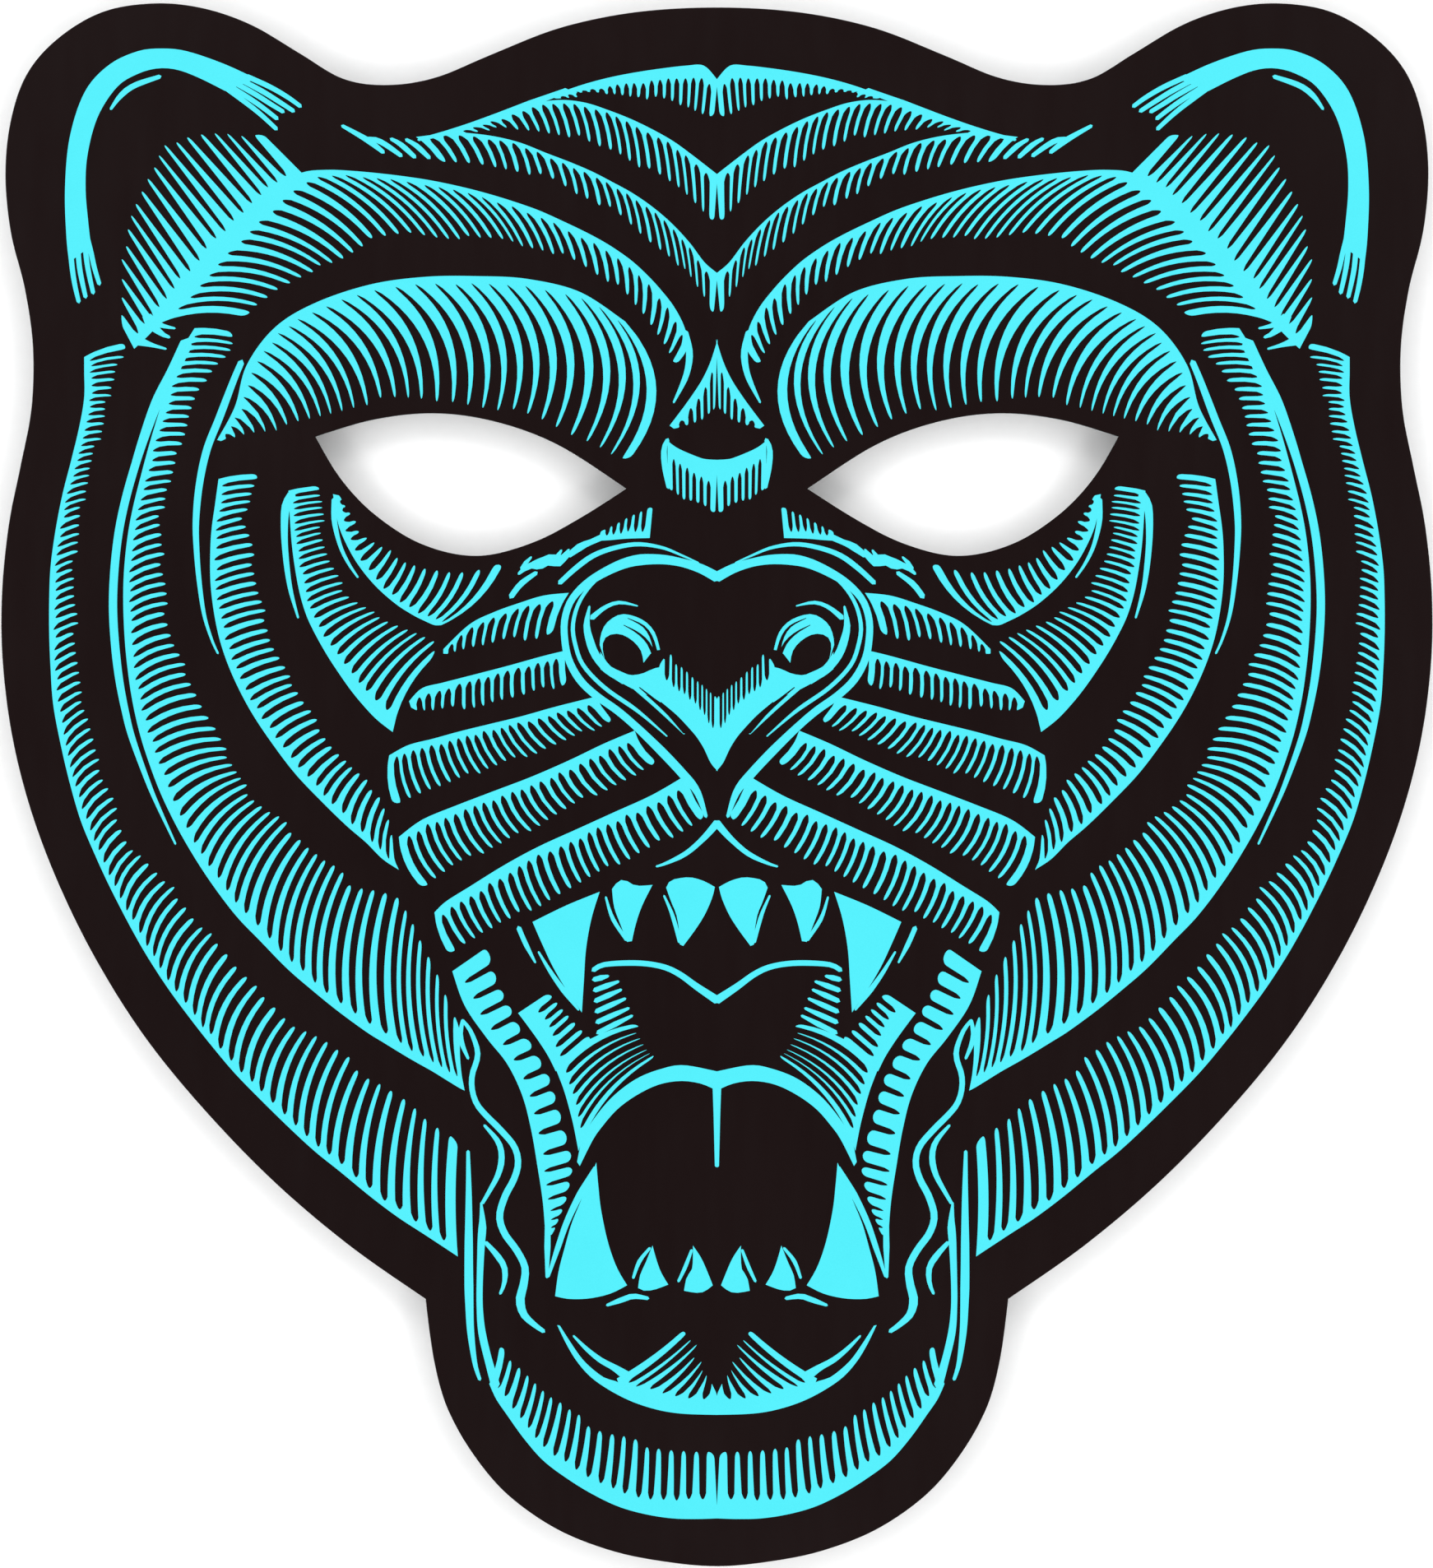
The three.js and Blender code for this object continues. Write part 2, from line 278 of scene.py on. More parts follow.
def feed(socket, value):
    """Links a socket to a value, or sets it to plain numbers."""
    if isinstance(value, Value):
        socket.id_data.links.new(value.socket, socket)
    elif socket.type == "RGBA" and len(value) == 3:
        socket.default_value = (*value, 1)
    else:
        socket.default_value = value


class Finish:
    """A material under construction. Its places are in metres."""

    def __init__(self, name):
        self.material = bpy.data.materials.new(name)
        self.material.use_nodes = True
        self.tree = self.material.node_tree
        self.tree.nodes.clear()
        self.place = self.node("ShaderNodeTexCoord", output="Object")

    def node(self, kind, settings=None, inputs=None, output=0):
        """A new node, and its output. A ramp's stops are (place, colour) pairs."""
        made = self.tree.nodes.new(kind)
        for key, value in (settings or {}).items():
            if key == "stops":
                for place, _ in value[2:]:
                    made.color_ramp.elements.new(place)
                for stop, (place, colour) in zip(made.color_ramp.elements, sorted(value)):
                    stop.position = place
                    stop.color = (*colour, 1)
            else:
                setattr(made, key, value)
        for key, value in (inputs or {}).items():
            feed(made.inputs[key], value)
        return Value(made.outputs[output]) if made.outputs else None

    def noise(self, size, detail=2.0, stretch=(1, 1, 1)):
        """Soft spots about a size in mm, from 0 to 1."""
        place = self.node("ShaderNodeVectorMath", {"operation": "MULTIPLY"},
                          {0: self.place, 1: [1 / (size * MM * s) for s in stretch]})
        return self.node("ShaderNodeTexNoise", None,
                         {"Vector": place, "Scale": 1.0, "Detail": detail}, "Fac")

    def cells(self, size):
        """Cells about a size in mm, from 0 at the middle of each."""
        return self.node("ShaderNodeTexVoronoi", None,
                         {"Vector": self.place, "Scale": 1 / (size * MM)}, "Distance")

    def blend(self, part, one, other):
        """A colour between two, or from one to the other as part goes from 0 to 1."""
        return self.node("ShaderNodeMix", {"data_type": "RGBA"},
                         {"Factor": part, 6: one, 7: other}, 2)

    def bump(self, height, depth):
        """A normal for relief of a depth in mm."""
        return self.node("ShaderNodeBump", None, {"Height": height, "Distance": depth * MM})

    def surface(self, **inputs):
        """The finished material, from its surface's inputs, with _ for each space."""
        named = {key.replace("_", " "): value for key, value in inputs.items()}
        shader = self.node("ShaderNodeBsdfPrincipled", None, named)
        self.node("ShaderNodeOutputMaterial", None, {"Surface": shader})
        return self.material


def foam_finish():
    """Black closed-cell foam: burst cells on the cut faces, paler where the relief stands high."""
    paint = Finish("black_foam")
    cell = paint.cells(FOAM_CELL)
    patches = paint.noise(14, 4)
    tiny = paint.noise(0.25, 3)
    shade = paint.blend(patches * 0.6 + cell * 0.4, (0.009, 0.009, 0.010), (0.022, 0.022, 0.023))
    relief = cell * 0.7 + tiny * 0.3 + patches * 0.6
    return paint.surface(
        Base_Color=shade,
        Roughness=0.78 + patches * 0.12 + cell * 0.1,
        Specular_IOR_Level=0.35,
        Normal=paint.bump(relief, 0.12),
    )


foam_low, foam_high = (corner.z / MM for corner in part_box("foam_backing"))
foam_under = rims("foam_backing", foam_low)
foam_edges = foam_under[:3]
pockets = foam_under[3:]
pocket_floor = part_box("strap_patch_right")[1].z / MM + POCKET_ABOVE_TAPE
foam_mesh = bmesh.new()
knife_hollow = [
    (FOAM_KNIFE_HOLLOW * 0.8, foam_low + 1.3),
    (FOAM_KNIFE_HOLLOW, foam_low + 2.1),
    (FOAM_KNIFE_HOLLOW * 0.6, foam_low + 3.1),
]
add_walls(foam_mesh, foam_edges, soft_edge(FOAM_BOTTOM_ROUND, foam_low) + knife_hollow
          + soft_edge(FOAM_TOP_ROUND, foam_high, -1)[::-1])
add_walls(foam_mesh, pockets, soft_edge(POCKET_ROUND, foam_low) + [(0.0, pocket_floor)])
add_face(foam_mesh, [set_back(loop, FOAM_TOP_ROUND) for loop in foam_edges], foam_high)
add_face(foam_mesh, [set_back(loop, FOAM_BOTTOM_ROUND) for loop in foam_edges]
         + [set_back(loop, POCKET_ROUND) for loop in pockets], foam_low, up=False)
for pocket in pockets:
    add_face(foam_mesh, [pocket[::-1]], pocket_floor, up=False)
foam = finished("foam_plate", foam_mesh, [foam_finish()])
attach(foam, "root")
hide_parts("foam_backing")


# Lamp: one laminated electroluminescent sheet of clear film, phosphor, dielectric and silver
# electrode, 0.75 mm thick in all. It is cut in the mask's outline with both eye openings, and
# its layers show as fine bands at the cut edge between the foam and the printed face.
LAMP_EDGE_ROUND = 0.08


def lamp_finish():
    """The cut edge of the laminate: clear film, pale phosphor, white dielectric, silver, film."""
    paint = Finish("laminated_lamp")
    height = paint.node("ShaderNodeSeparateXYZ", None, {"Vector": paint.place}, "Z")
    part = (height - (lamp_low * MM)) * (1 / ((lamp_high - lamp_low) * MM))
    layers = paint.node("ShaderNodeValToRGB", {"stops": [
        (0.0, (0.30, 0.32, 0.33)), (0.26, (0.34, 0.36, 0.37)), (0.30, (0.42, 0.42, 0.41)),
        (0.40, (0.62, 0.62, 0.60)), (0.52, (0.60, 0.66, 0.62)), (0.62, (0.42, 0.70, 0.66)),
        (0.70, (0.24, 0.30, 0.32)), (1.0, (0.18, 0.22, 0.24))]}, {"Fac": part}, "Color")
    scuffs = paint.noise(0.8, 4, (1, 1, 0.2))
    return paint.surface(
        Base_Color=paint.blend(scuffs * 0.25, layers, (0.12, 0.13, 0.14)),
        Roughness=0.3 + scuffs * 0.25,
        Coat_Weight=0.3,
        Normal=paint.bump(scuffs, 0.02),
    )


lamp_low, lamp_high = (corner.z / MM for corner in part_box("lamp_sheet"))
lamp_edges = rims("lamp_sheet", lamp_high)
lamp_mesh = bmesh.new()
add_walls(lamp_mesh, lamp_edges, soft_edge(LAMP_EDGE_ROUND, lamp_low) + [(0.0, lamp_high)])
add_face(lamp_mesh, lamp_edges, lamp_high)
add_face(lamp_mesh, [set_back(loop, LAMP_EDGE_ROUND) for loop in lamp_edges], lamp_low, up=False)
lamp = finished("laminated_lamp", lamp_mesh, [lamp_finish()])
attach(lamp, "root")
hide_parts("lamp_sheet")


# Printed face: a flat black satin film laminated over the lamp, clear where the tiger is drawn,
# so that the phosphor shows through as glowing cyan. Each stripe is hatched as in a woodcut: a
# solid edge with a row of hairs cut into it. The two halves mirror each other.
DRAWN_STEP = 0.9
HAIR_STEP = 1.5
SHORTEST_HAIR = 0.3
PITCH_STRAY = 0.12
BACK_STRAY = 0.2
TIP_STRAY = 0.1
WIDEST_BACK = 0.75
SLIT_OPENING = 0.9
LONGEST_OPENING = 0.45
LONGEST_ROUNDING = 0.35
OPENING_STEPS = (0, 0.06, 0.25, 0.6)
ROUNDING_STEPS = (0.6, 0.3, 0.08, 0)
ROOT_STEPS = 3
CLUMP = (5, 9)
FILM_EDGE_ROUND = 0.06
hand = random.Random(5)


def between(values, part):
    """The value a part of the way through values that are spread evenly."""
    where = part * (len(values) - 1)
    leg = min(int(where), len(values) - 2)
    return values[leg] + (values[leg + 1] - values[leg]) * (where - leg)


def hatched(rows, pitch, back, gap=(0.5, 0.6), bow=(0, 0), ragged=0.35, rounding=0.9):
    """A solid edge with hairs, through rows of [root x, root y, tip x, tip y] in mm.

    pitch is how far apart the hairs are, back how wide the solid edge is, and bow the hairs'
    curve as a part of their length, each spread evenly from the first row to the last. gap is
    the part of a hair's room that stays black, near its root and at its tip. ragged is how far
    the tips stand out or back, in clumps, and rounding how long their round ends are. The
    widest back, the longest opening and the longest rounding are parts of a hair's length.
    """
    fine = curve_through(rows)
    marks = run_lengths([((row[0] + row[2]) / 2, (row[1] + row[3]) / 2) for row in fine])

    def spot(along, out):
        root_x, root_y, tip_x, tip_y = point_at(fine, marks, along * marks[-1])
        reach_x, reach_y = tip_x - root_x, tip_y - root_y
        lean = 4 * out * (1 - out) * between(bow, along)
        return root_x + reach_x * out - reach_y * lean, root_y + reach_y * out + reach_x * lean

    def length(along):
        root_x, root_y, tip_x, tip_y = point_at(fine, marks, along * marks[-1])
        return max(math.hypot(tip_x - root_x, tip_y - root_y), SHORTEST_HAIR)

    steps = [0.0]
    while steps[-1] < marks[-1]:
        uneven = hand.uniform(1 - PITCH_STRAY, 1 + PITCH_STRAY)
        steps.append(steps[-1] + between(pitch, steps[-1] / marks[-1]) * uneven)
    cuts = [step / steps[-1] for step in steps]
    hairs = len(cuts) - 1
    notches = [(between(back, cut) + hand.uniform(-BACK_STRAY, BACK_STRAY)) / length(cut)
               for cut in cuts]
    roots = ROOT_STEPS * hairs
    outline = [spot(i / roots, 0.0) for i in range(roots + 1)]
    clump = left = 0
    for hair in reversed(range(hairs)):
        if not left:
            clump = left = hand.randint(*CLUMP)
        left -= 1
        middle, half = (cuts[hair] + cuts[hair + 1]) / 2, (cuts[hair + 1] - cuts[hair]) / 2
        stray = ragged * (2 * left / clump - 1) + hand.uniform(-TIP_STRAY, TIP_STRAY)
        tip = 1 + stray / length(middle)
        for side, cut in ((1, hair + 1), (-1, hair)):
            notch = min(notches[cut], WIDEST_BACK * tip)
            reach = (tip - notch) * length(middle)
            opening = min(SLIT_OPENING, LONGEST_OPENING * reach)
            round_off = min(rounding, LONGEST_ROUNDING * reach)
            straight = reach - opening - round_off
            parts = max(1, round(straight / HAIR_STEP))
            places = [opening * part for part in OPENING_STEPS]
            places += [opening + straight * part / parts for part in range(parts + 1)]
            places += [reach - round_off * part for part in ROUNDING_STEPS]
            for place in places[::side]:
                out = notch + (tip - notch) * place / reach
                width = 1 - between(gap, out) * math.sqrt(min(1, place / opening))
                if cut in (0, hairs):
                    width = 1
                closing = max(0, 1 - (reach - place) / round_off)
                width *= math.sqrt(max(0, 1 - closing ** 2))
                outline.append(spot(middle + side * half * width, out))
    return outline


def line(points, *widths):
    """A pen line through points, with widths in mm spread evenly along it."""
    middle = evenly(points, DRAWN_STEP)
    last = len(middle) - 1
    left, right = [], []
    for i, (x, y) in enumerate(middle):
        before, after = middle[max(i - 1, 0)], middle[min(i + 1, last)]
        way = Vector((after[0] - before[0], after[1] - before[1])).normalized()
        half = between(widths, i / last) / 2
        left.append((x - way.y * half, y + way.x * half))
        right.append((x + way.y * half, y - way.x * half))
        if i in (0, last):
            end = half * (1 if i else -1)
            left.append((x + way.x * end, y + way.y * end))
    left.insert(0, left.pop(1))
    return left + right[::-1]


def ribbon(one, other):
    """The area between two curves that run the same way."""
    return evenly(one, DRAWN_STEP) + evenly(other, DRAWN_STEP)[::-1]


def outlined(*stretches):
    """An area inside curves, each of which starts at the last point of the one before."""
    corners = [stretch[-1] for stretch in stretches]
    return [point for corner, stretch in zip(corners[-1:] + corners, stretches)
            for point in evenly([corner] + stretch, DRAWN_STEP)[:-1]]


ear = [
    ribbon([(94.5, 76.2), (94.9, 80), (95.1, 87), (94.4, 94.5), (92.2, 101.1), (88.7, 105),
            (84.5, 107), (80.9, 107.4), (77.3, 107), (72, 105.2), (67.2, 103)],
           [(91.3, 78.6), (91.7, 82), (92.1, 87), (91.8, 92), (90.3, 97.5), (87.5, 101.8),
            (84.5, 103.7), (81.6, 104.5), (78.7, 104.3), (75.5, 103.1), (71.7, 101.2)]),
    line([(81.3, 103.3), (85, 102), (87, 100.5), (88.4, 98.6)], 0.6, 0.8, 0.85, 0.4),
    hatched([(85, 63.6, 87, 67.4), (82.4, 66.1, 86.8, 72.7), (80.3, 68.7, 86.5, 78.2),
             (78, 71.8, 85.6, 83), (75.4, 74.4, 84, 86.4), (73, 77.3, 82.2, 89.6),
             (70.2, 80.1, 80.5, 92.9), (67.5, 82.7, 77.6, 94.5), (65.1, 85.2, 73.6, 95.1),
             (61.9, 87.2, 68.7, 94.5), (60, 88.7, 66.2, 94.9)],
            (1.9, 1.85), (1.4, 1.7), gap=(0.2, 0.8)),
]
for strand in [[(68.5, 103.3), (65.2, 101.8), (62.6, 100.3), (60.8, 99)],
               [(69, 102.6), (66.2, 101.1), (63.8, 99.6), (61.8, 98.3)],
               [(70.5, 102.5), (67.3, 100.7), (65.1, 99.3), (63.3, 98.2)],
               [(71.5, 102.2), (68, 100), (66, 98.6), (64.2, 97.2)],
               [(72.8, 102.5), (69.5, 100.1), (66.8, 98), (64.3, 95.7)],
               [(94.3, 78), (94, 75), (93.6, 72.6), (93.1, 70.5)],
               [(93.2, 78), (93, 75.6), (92.6, 73.4), (92.1, 71.2)],
               [(92.2, 79), (91.9, 76.2), (91.5, 74), (91, 71.8)],
               [(91.9, 80), (91.3, 77.6), (90.8, 75.4), (90.1, 73.1)]]:
    ear.append(line(strand, 0.75, 0.75, 0.7, 0.6))
brow = [
    hatched([(82.4, 66.9, 68.5, 68.2), (78.8, 71.2, 65.7, 71), (75.7, 75, 62.2, 73.4),
             (72, 79.4, 58.3, 75.3), (68.3, 83.2, 54.6, 76.6), (64.6, 86.7, 51.8, 78.8),
             (60.8, 89.2, 48, 80), (57, 89.7, 44.5, 80.4), (52.5, 89.5, 40.8, 79.9),
             (47.5, 89, 37.3, 79.9), (42.5, 88.3, 33.8, 79.6), (38, 87.4, 30.6, 79.5),
             (34, 86.4, 28, 78.5), (30, 85.2, 25.5, 78.2), (26, 83.8, 22.6, 77.2),
             (22, 82, 19.4, 75.6), (18.5, 80.3, 16.6, 74), (15.5, 78.6, 14.2, 72.4),
             (12.5, 76.5, 12, 70), (10, 74.2, 10.2, 67.8), (8, 72, 8.8, 66),
             (6.3, 69.8, 7.6, 64.3), (4.9, 67.2, 6.7, 62.8), (4, 64.3, 5.8, 61.5)],
            (2, 2), (2.6, 1.3), gap=(0.38, 0.7), bow=(-0.09, -0.05)),
    line([(4.6, 66), (4, 63), (4.5, 59.7), (6.3, 55.8)], 0.8, 1.0, 0.8, 0.3),
    line([(82.6, 67.2), (81, 65.8), (79.9, 65.3)], 1.6, 0.9, 0.4),
    line([(83, 67.9), (81, 67), (79.1, 66.6)], 1.8, 0.7, 0.3),
    line([(84.5, 64.8), (82.6, 64.2), (80.4, 63.6)], 1.4, 0.6, 0.3),
]
crown = [
    hatched([(24.5, 100.4, 23.5, 100.1), (20, 102, 19, 100.8), (16, 103.1, 15.4, 100.7),
             (12, 103.9, 11.8, 100.5), (8, 104.5, 7.9, 99.8), (4.5, 104.9, 4.6, 98.9),
             (1.9, 104.9, 2.5, 98.2), (-0.1, 102.8, 0.4, 97.8)],
            (1.2, 1.35), (0.6, 1.5, 2), gap=(0.55, 0.67), bow=(-0.04, -0.04, 0)),
    line([(43.5, 94.1), (38, 95.5), (32, 97.6), (26, 99.8), (22, 101.3)], 0.4, 0.8, 0.8, 1, 0.7),
    hatched([(38.5, 95.2, 37.5, 94.9), (34.5, 96.4, 32.6, 95.7), (30.5, 97.9, 28.5, 95.4),
             (26.5, 99.4, 24.6, 95.2), (22.8, 99.9, 21, 94.6), (19.2, 99.5, 17.5, 93.2),
             (15.8, 98.4, 14.3, 92.1), (12.5, 97.1, 11.2, 90.3), (9.4, 95.6, 8.2, 88.7),
             (6.4, 93.9, 5.4, 87), (3.5, 91.8, 2.9, 84.7), (-0.1, 89, 0.4, 82.4)],
            (1.45, 1.75), (0.3, 1), gap=(0.6, 0.69), bow=(-0.05, -0.05, 0)),
    hatched([(43.9, 94.5, 40.3, 90.7), (41.6, 94.8, 38.3, 90.5), (38.9, 95.2, 36, 90.5),
             (35.5, 95, 32.9, 90.2), (32, 94.5, 30.1, 89.7),
             (28.5, 93.6, 26.8, 89.1), (25, 92.2, 23.4, 87.9), (21.6, 90.9, 20, 86),
             (18.3, 89.5, 16.7, 84.6), (15.2, 87.9, 13.6, 82.6), (12.3, 86.3, 10.7, 79.9),
             (9.4, 84.3, 7.8, 77.8), (6.6, 81.9, 5.2, 75.6), (4, 79.1, 3.3, 73.2),
             (1.8, 76.2, 1.6, 70.8), (-0.1, 74.6, 0.5, 68.6)],
            (1.9, 1.9), (0.5, 0.8, 1), gap=(0.6, 0.69), bow=(-0.06, -0.06, 0)),
    line([(54.6, 96.1), (52.6, 95), (50.6, 93.8), (48.7, 92.3)], 0.5, 0.7, 0.9, 0.6),
    line([(51.6, 94.3), (49.8, 94.1), (48.2, 93.3), (46.1, 91.8)], 0.4, 0.8, 0.75, 0.6),
    line([(47.5, 94.2), (46.1, 93.4), (44.1, 91.6)], 0.5, 0.8, 0.6),
    line([(45.3, 94.1), (43.8, 93.2), (42, 91.5)], 0.5, 0.8, 0.6),
]
eyelid = [
    hatched([(72.9, 50.3, 72.2, 50), (70.3, 55.2, 66.8, 51.5), (68.6, 61.2, 61.2, 52.6),
             (64.5, 66.7, 55, 54.5), (58.6, 70.3, 48.3, 56.2), (50.5, 73, 41.6, 56),
             (42.5, 74.1, 35.3, 55.5), (35, 74.2, 29.1, 54.3), (27.7, 73.8, 23.4, 52),
             (20, 71.9, 17.2, 49.3), (13.4, 67.6, 12.7, 47.6)],
            (1.2, 2.6, 2.7), (0.7, 1.4, 1.7), gap=(0.13, 0.85), bow=(-0.1, -0.21)),
    line([(69.4, 61.6), (70.5, 59), (72.6, 53.5), (74.4, 48.9), (75.5, 43.8), (76, 38.5),
          (75.9, 34.2), (75.5, 29.5), (74.8, 24.8), (73.7, 21.2), (72.8, 19.2)],
         0.9, 1.1, 1.1, 1, 0.8, 0.6, 0.3),
]
bridge = [
    hatched([(6.9, 52.4, 6.2, 51.9), (5, 54.9, 4.5, 52.3), (3.5, 57, 3.3, 52.8),
             (2.1, 59.2, 2, 53.5), (0.9, 61.8, 0.8, 54.6), (-0.1, 65, 0.28, 55)],
            (2.1, 2.05), (0.9, 2.4), gap=(0.5, 0.65), ragged=0.1, rounding=0.5),
    line([(7.2, 50.3), (7.7, 49), (7.6, 46.5), (7.1, 43.4)], 0.6, 0.9, 0.8, 0.5),
    hatched([(7.2, 50.2, 7.2, 43.1), (6.2, 49.4, 6, 42.3), (4.9, 48.7, 4.85, 41.6),
             (2.7, 47.8, 2.7, 41.2), (1.6, 47.5, 1.6, 40.6), (-0.1, 47.4, 0.25, 39.8)],
            (1.13, 1.13), (1.5, 3.3), gap=(0.5, 0.58), ragged=0.2, rounding=0.5),
]
outer_stripe = [
    hatched([(92.3, 62.4, 86.4, 64.4), (92.3, 60.3, 87.1, 61.3), (92.3, 56.5, 88.6, 57),
             (93, 52.3, 89.3, 53), (94.2, 47.3, 90.7, 48.3), (95.5, 42.2, 92, 43.6),
             (96.5, 37, 92.7, 38.7), (97.2, 31.8, 93.5, 33.7), (97.4, 27, 93.7, 29),
             (97.4, 22, 93.5, 24.2), (97.2, 17, 93.3, 19.6), (96.8, 11.6, 93, 14.4),
             (95.6, 5.3, 91.6, 9.5), (94.2, -0.5, 90.3, 3.6), (92.7, -5.5, 88.7, -0.6),
             (90.6, -10.5, 87, -5.4), (88.9, -14.2, 85.5, -8.9), (87.3, -17.4, 83.6, -10.6),
             (85.3, -21.2, 81.2, -13.8), (83, -25.2, 78.6, -16), (80, -29.8, 75.5, -20.5),
             (76.6, -34.4, 72.3, -23.2), (73.6, -38.2, 69, -27.8), (70.3, -42.1, 65.9, -30.6),
             (66.3, -46.2, 62, -34.8), (62, -50.4, 58.2, -36.9), (58.5, -53.6, 54.9, -39.2),
             (55, -56.4, 51.6, -41.9), (50.5, -60.1, 48.2, -44.1), (46.5, -63.1, 44.9, -46.4),
             (42.5, -65.7, 42.3, -49), (37.8, -68.8, 37.8, -52.3)],
            (1.08, 2.43), (1, 1.2), gap=(0.46, 0.7), bow=(-0.05, -0.09, -0.12, -0.1, -0.02)),
]
second_stripe = [
    hatched([(76.2, 66.6, 70.4, 65.9), (78, 63.6, 70.9, 63.4), (79.8, 59.6, 74, 60),
             (81.2, 55, 76.3, 55.2), (82.7, 50, 78, 50.5), (84, 45.2, 79, 46),
             (85.2, 40.4, 80.6, 41.8), (86, 36, 81, 38.2), (86.5, 31, 80.9, 33.5),
             (86.6, 26.4, 80.4, 29), (86.4, 21.5, 80.1, 24.3), (86, 17.2, 79.2, 20.5),
             (85.3, 12.4, 77.2, 16.3), (84.2, 7.5, 74.9, 11.3), (82.7, 2.8, 72.4, 6.4),
             (80.9, -1.8, 70.6, 3.2), (78.2, -7.2, 69.3, 0.6), (74.6, -13.1, 66.9, -2.6),
             (70.4, -18.8, 63.5, -5.2), (66.6, -22.8, 60.9, -7.7), (62.7, -26.8, 58.3, -10.2),
             (59, -30, 55.6, -12.1), (55.3, -33, 53, -14.5), (51.2, -36, 49.9, -15.3),
             (48.8, -37.5, 48, -15.8), (46.2, -39.1, 46.2, -17), (44, -40.4, 44.8, -19.9),
             (41.5, -41.8, 43.1, -22.6), (39.4, -43.1, 41, -27), (37.6, -44.2, 39.1, -32),
             (36.8, -44.6, 37.4, -36)],
            (1.3, 1.72, 2.35), (0.9, 1.8), gap=(0.42, 0.65), bow=(-0.05, -0.09, -0.1, -0.04)),
    line([(77.4, 64.4), (79.4, 60.2), (81.6, 56), (83.4, 51.2), (84.9, 46.5), (86.3, 41.5),
          (87.3, 36.6), (87.9, 31.2), (88.1, 25.9), (87.8, 20.5), (87.2, 15.4), (86.3, 10.7),
          (85.3, 6.8), (83, 0.4), (81.4, -3.4), (79, -8.6)],
         1.8, 1.6, 1.2, 1.2, 1.2, 1.2, 1, 0.7, 0.3),
]
third_stripe = [
    hatched([(72.7, 44.6, 66.9, 45.3), (73.2, 41, 68.1, 42), (73.7, 37.4, 68.9, 38.8),
             (73.9, 34.3, 67.9, 35.9), (73.9, 30, 67.5, 32), (73.5, 26, 66.8, 28),
             (72.7, 21.8, 65.8, 24.2), (71.5, 18, 64.8, 20.6), (69.9, 14.3, 63.2, 17.2),
             (67.8, 10.4, 61.3, 14), (65, 6.2, 58.9, 10.1), (61.5, 1.6, 56.4, 6.1),
             (57.5, -2.6, 53.6, 2.8), (54, -6, 51.2, 0.4), (51.2, -8.4, 49.2, -1.6),
             (48.8, -10.8, 48.1, -4.6), (46.4, -12.4, 47.2, -8.6)],
            (1.32, 1.83), (0.8, 1), gap=(0.43, 0.63), bow=(-0.04, -0.08)),
]
fourth_stripe = [
    hatched([(62.5, 42.9, 57.8, 43.6), (62.3, 39, 57.6, 39.9), (62, 35, 57.5, 36.4),
             (61.5, 31.3, 56.6, 33), (60.8, 27.7, 55.2, 30), (59.8, 24.5, 53.4, 27.4),
             (58.4, 21.6, 51.2, 25.8), (56.8, 18.8, 49, 24.6), (55.1, 16.2, 46.9, 23.5),
             (53.4, 13.8, 44.8, 22.5), (51.6, 11.6, 42.9, 21.6), (49.6, 9.5, 41.4, 20.6),
             (47.3, 7.7, 41.6, 18.4)],
            (0.95, 1.75), (0.7, 0.9, 2), gap=(0.5, 0.7), bow=(-0.03, -0.08)),
    line([(62, 42.2), (62.9, 40.5), (63.1, 36.7), (62.8, 32.4), (62.2, 28.4), (61.1, 24.4)],
         1.4, 1.1, 0.9, 0.8, 0.6, 0.3),
]
under_eye = [
    hatched([(56, 42.4, 55.1, 42.2), (55.3, 38.3, 53.3, 39), (54.2, 35.4, 51.3, 36.5),
             (52.4, 32.2, 49.3, 35), (49.9, 29.1, 46.8, 33.5), (47, 26.5, 43.8, 32),
             (44.4, 24.8, 40.4, 31.2), (42.4, 23.8, 37.4, 30.9), (41.2, 23.3, 34.3, 31.3),
             (40.2, 23.3, 31.3, 32)],
            (1.45, 1.75), (1, 0.6, 0.9), gap=(0.45, 0.7), bow=(0, 0.09)),
    line([(55.8, 41.6), (55.8, 38.5), (55, 35), (53.8, 32.4), (52.4, 30.3)],
         0.8, 0.8, 0.6, 0.5, 0.3),
    hatched([(17.2, 35.6, 16.9, 37.3), (15.5, 35.7, 15.2, 37.9), (13.2, 35.9, 12.8, 39),
             (9.8, 36, 9.4, 40.3)], (1.15, 1.15), (0.8, 1), gap=(0.5, 0.65), rounding=0.4),
    line([(16.6, 36.2), (18.4, 35.4), (19.8, 34.8), (21.6, 33.5)], 0.9, 0.8, 1.1, 0.8),
    line([(22.4, 33.2), (21.6, 34.3)], 0.9, 0.3),
    line([(23.5, 32.9), (22.7, 34.2)], 0.9, 0.3),
    ribbon([(21, 33.6), (22.4, 33.5), (24.6, 33.6), (25.6, 33.1), (26.6, 32.8), (27.6, 32)],
           [(21.6, 33.2), (22.6, 32.1), (23.2, 31.8), (24.6, 32), (25.8, 31.4), (27.2, 31.6)]),
    line([(28.9, 30.8), (27.8, 31.7), (26.4, 32.2)], 0.4, 0.8, 1),
    line([(28.4, 31.5), (27.8, 32.5), (27.1, 33.2)], 0.7, 0.6, 0.3),
    line([(30, 27.5), (28.6, 29.3), (26.4, 30.9)], 0.8, 0.85, 0.6),
]
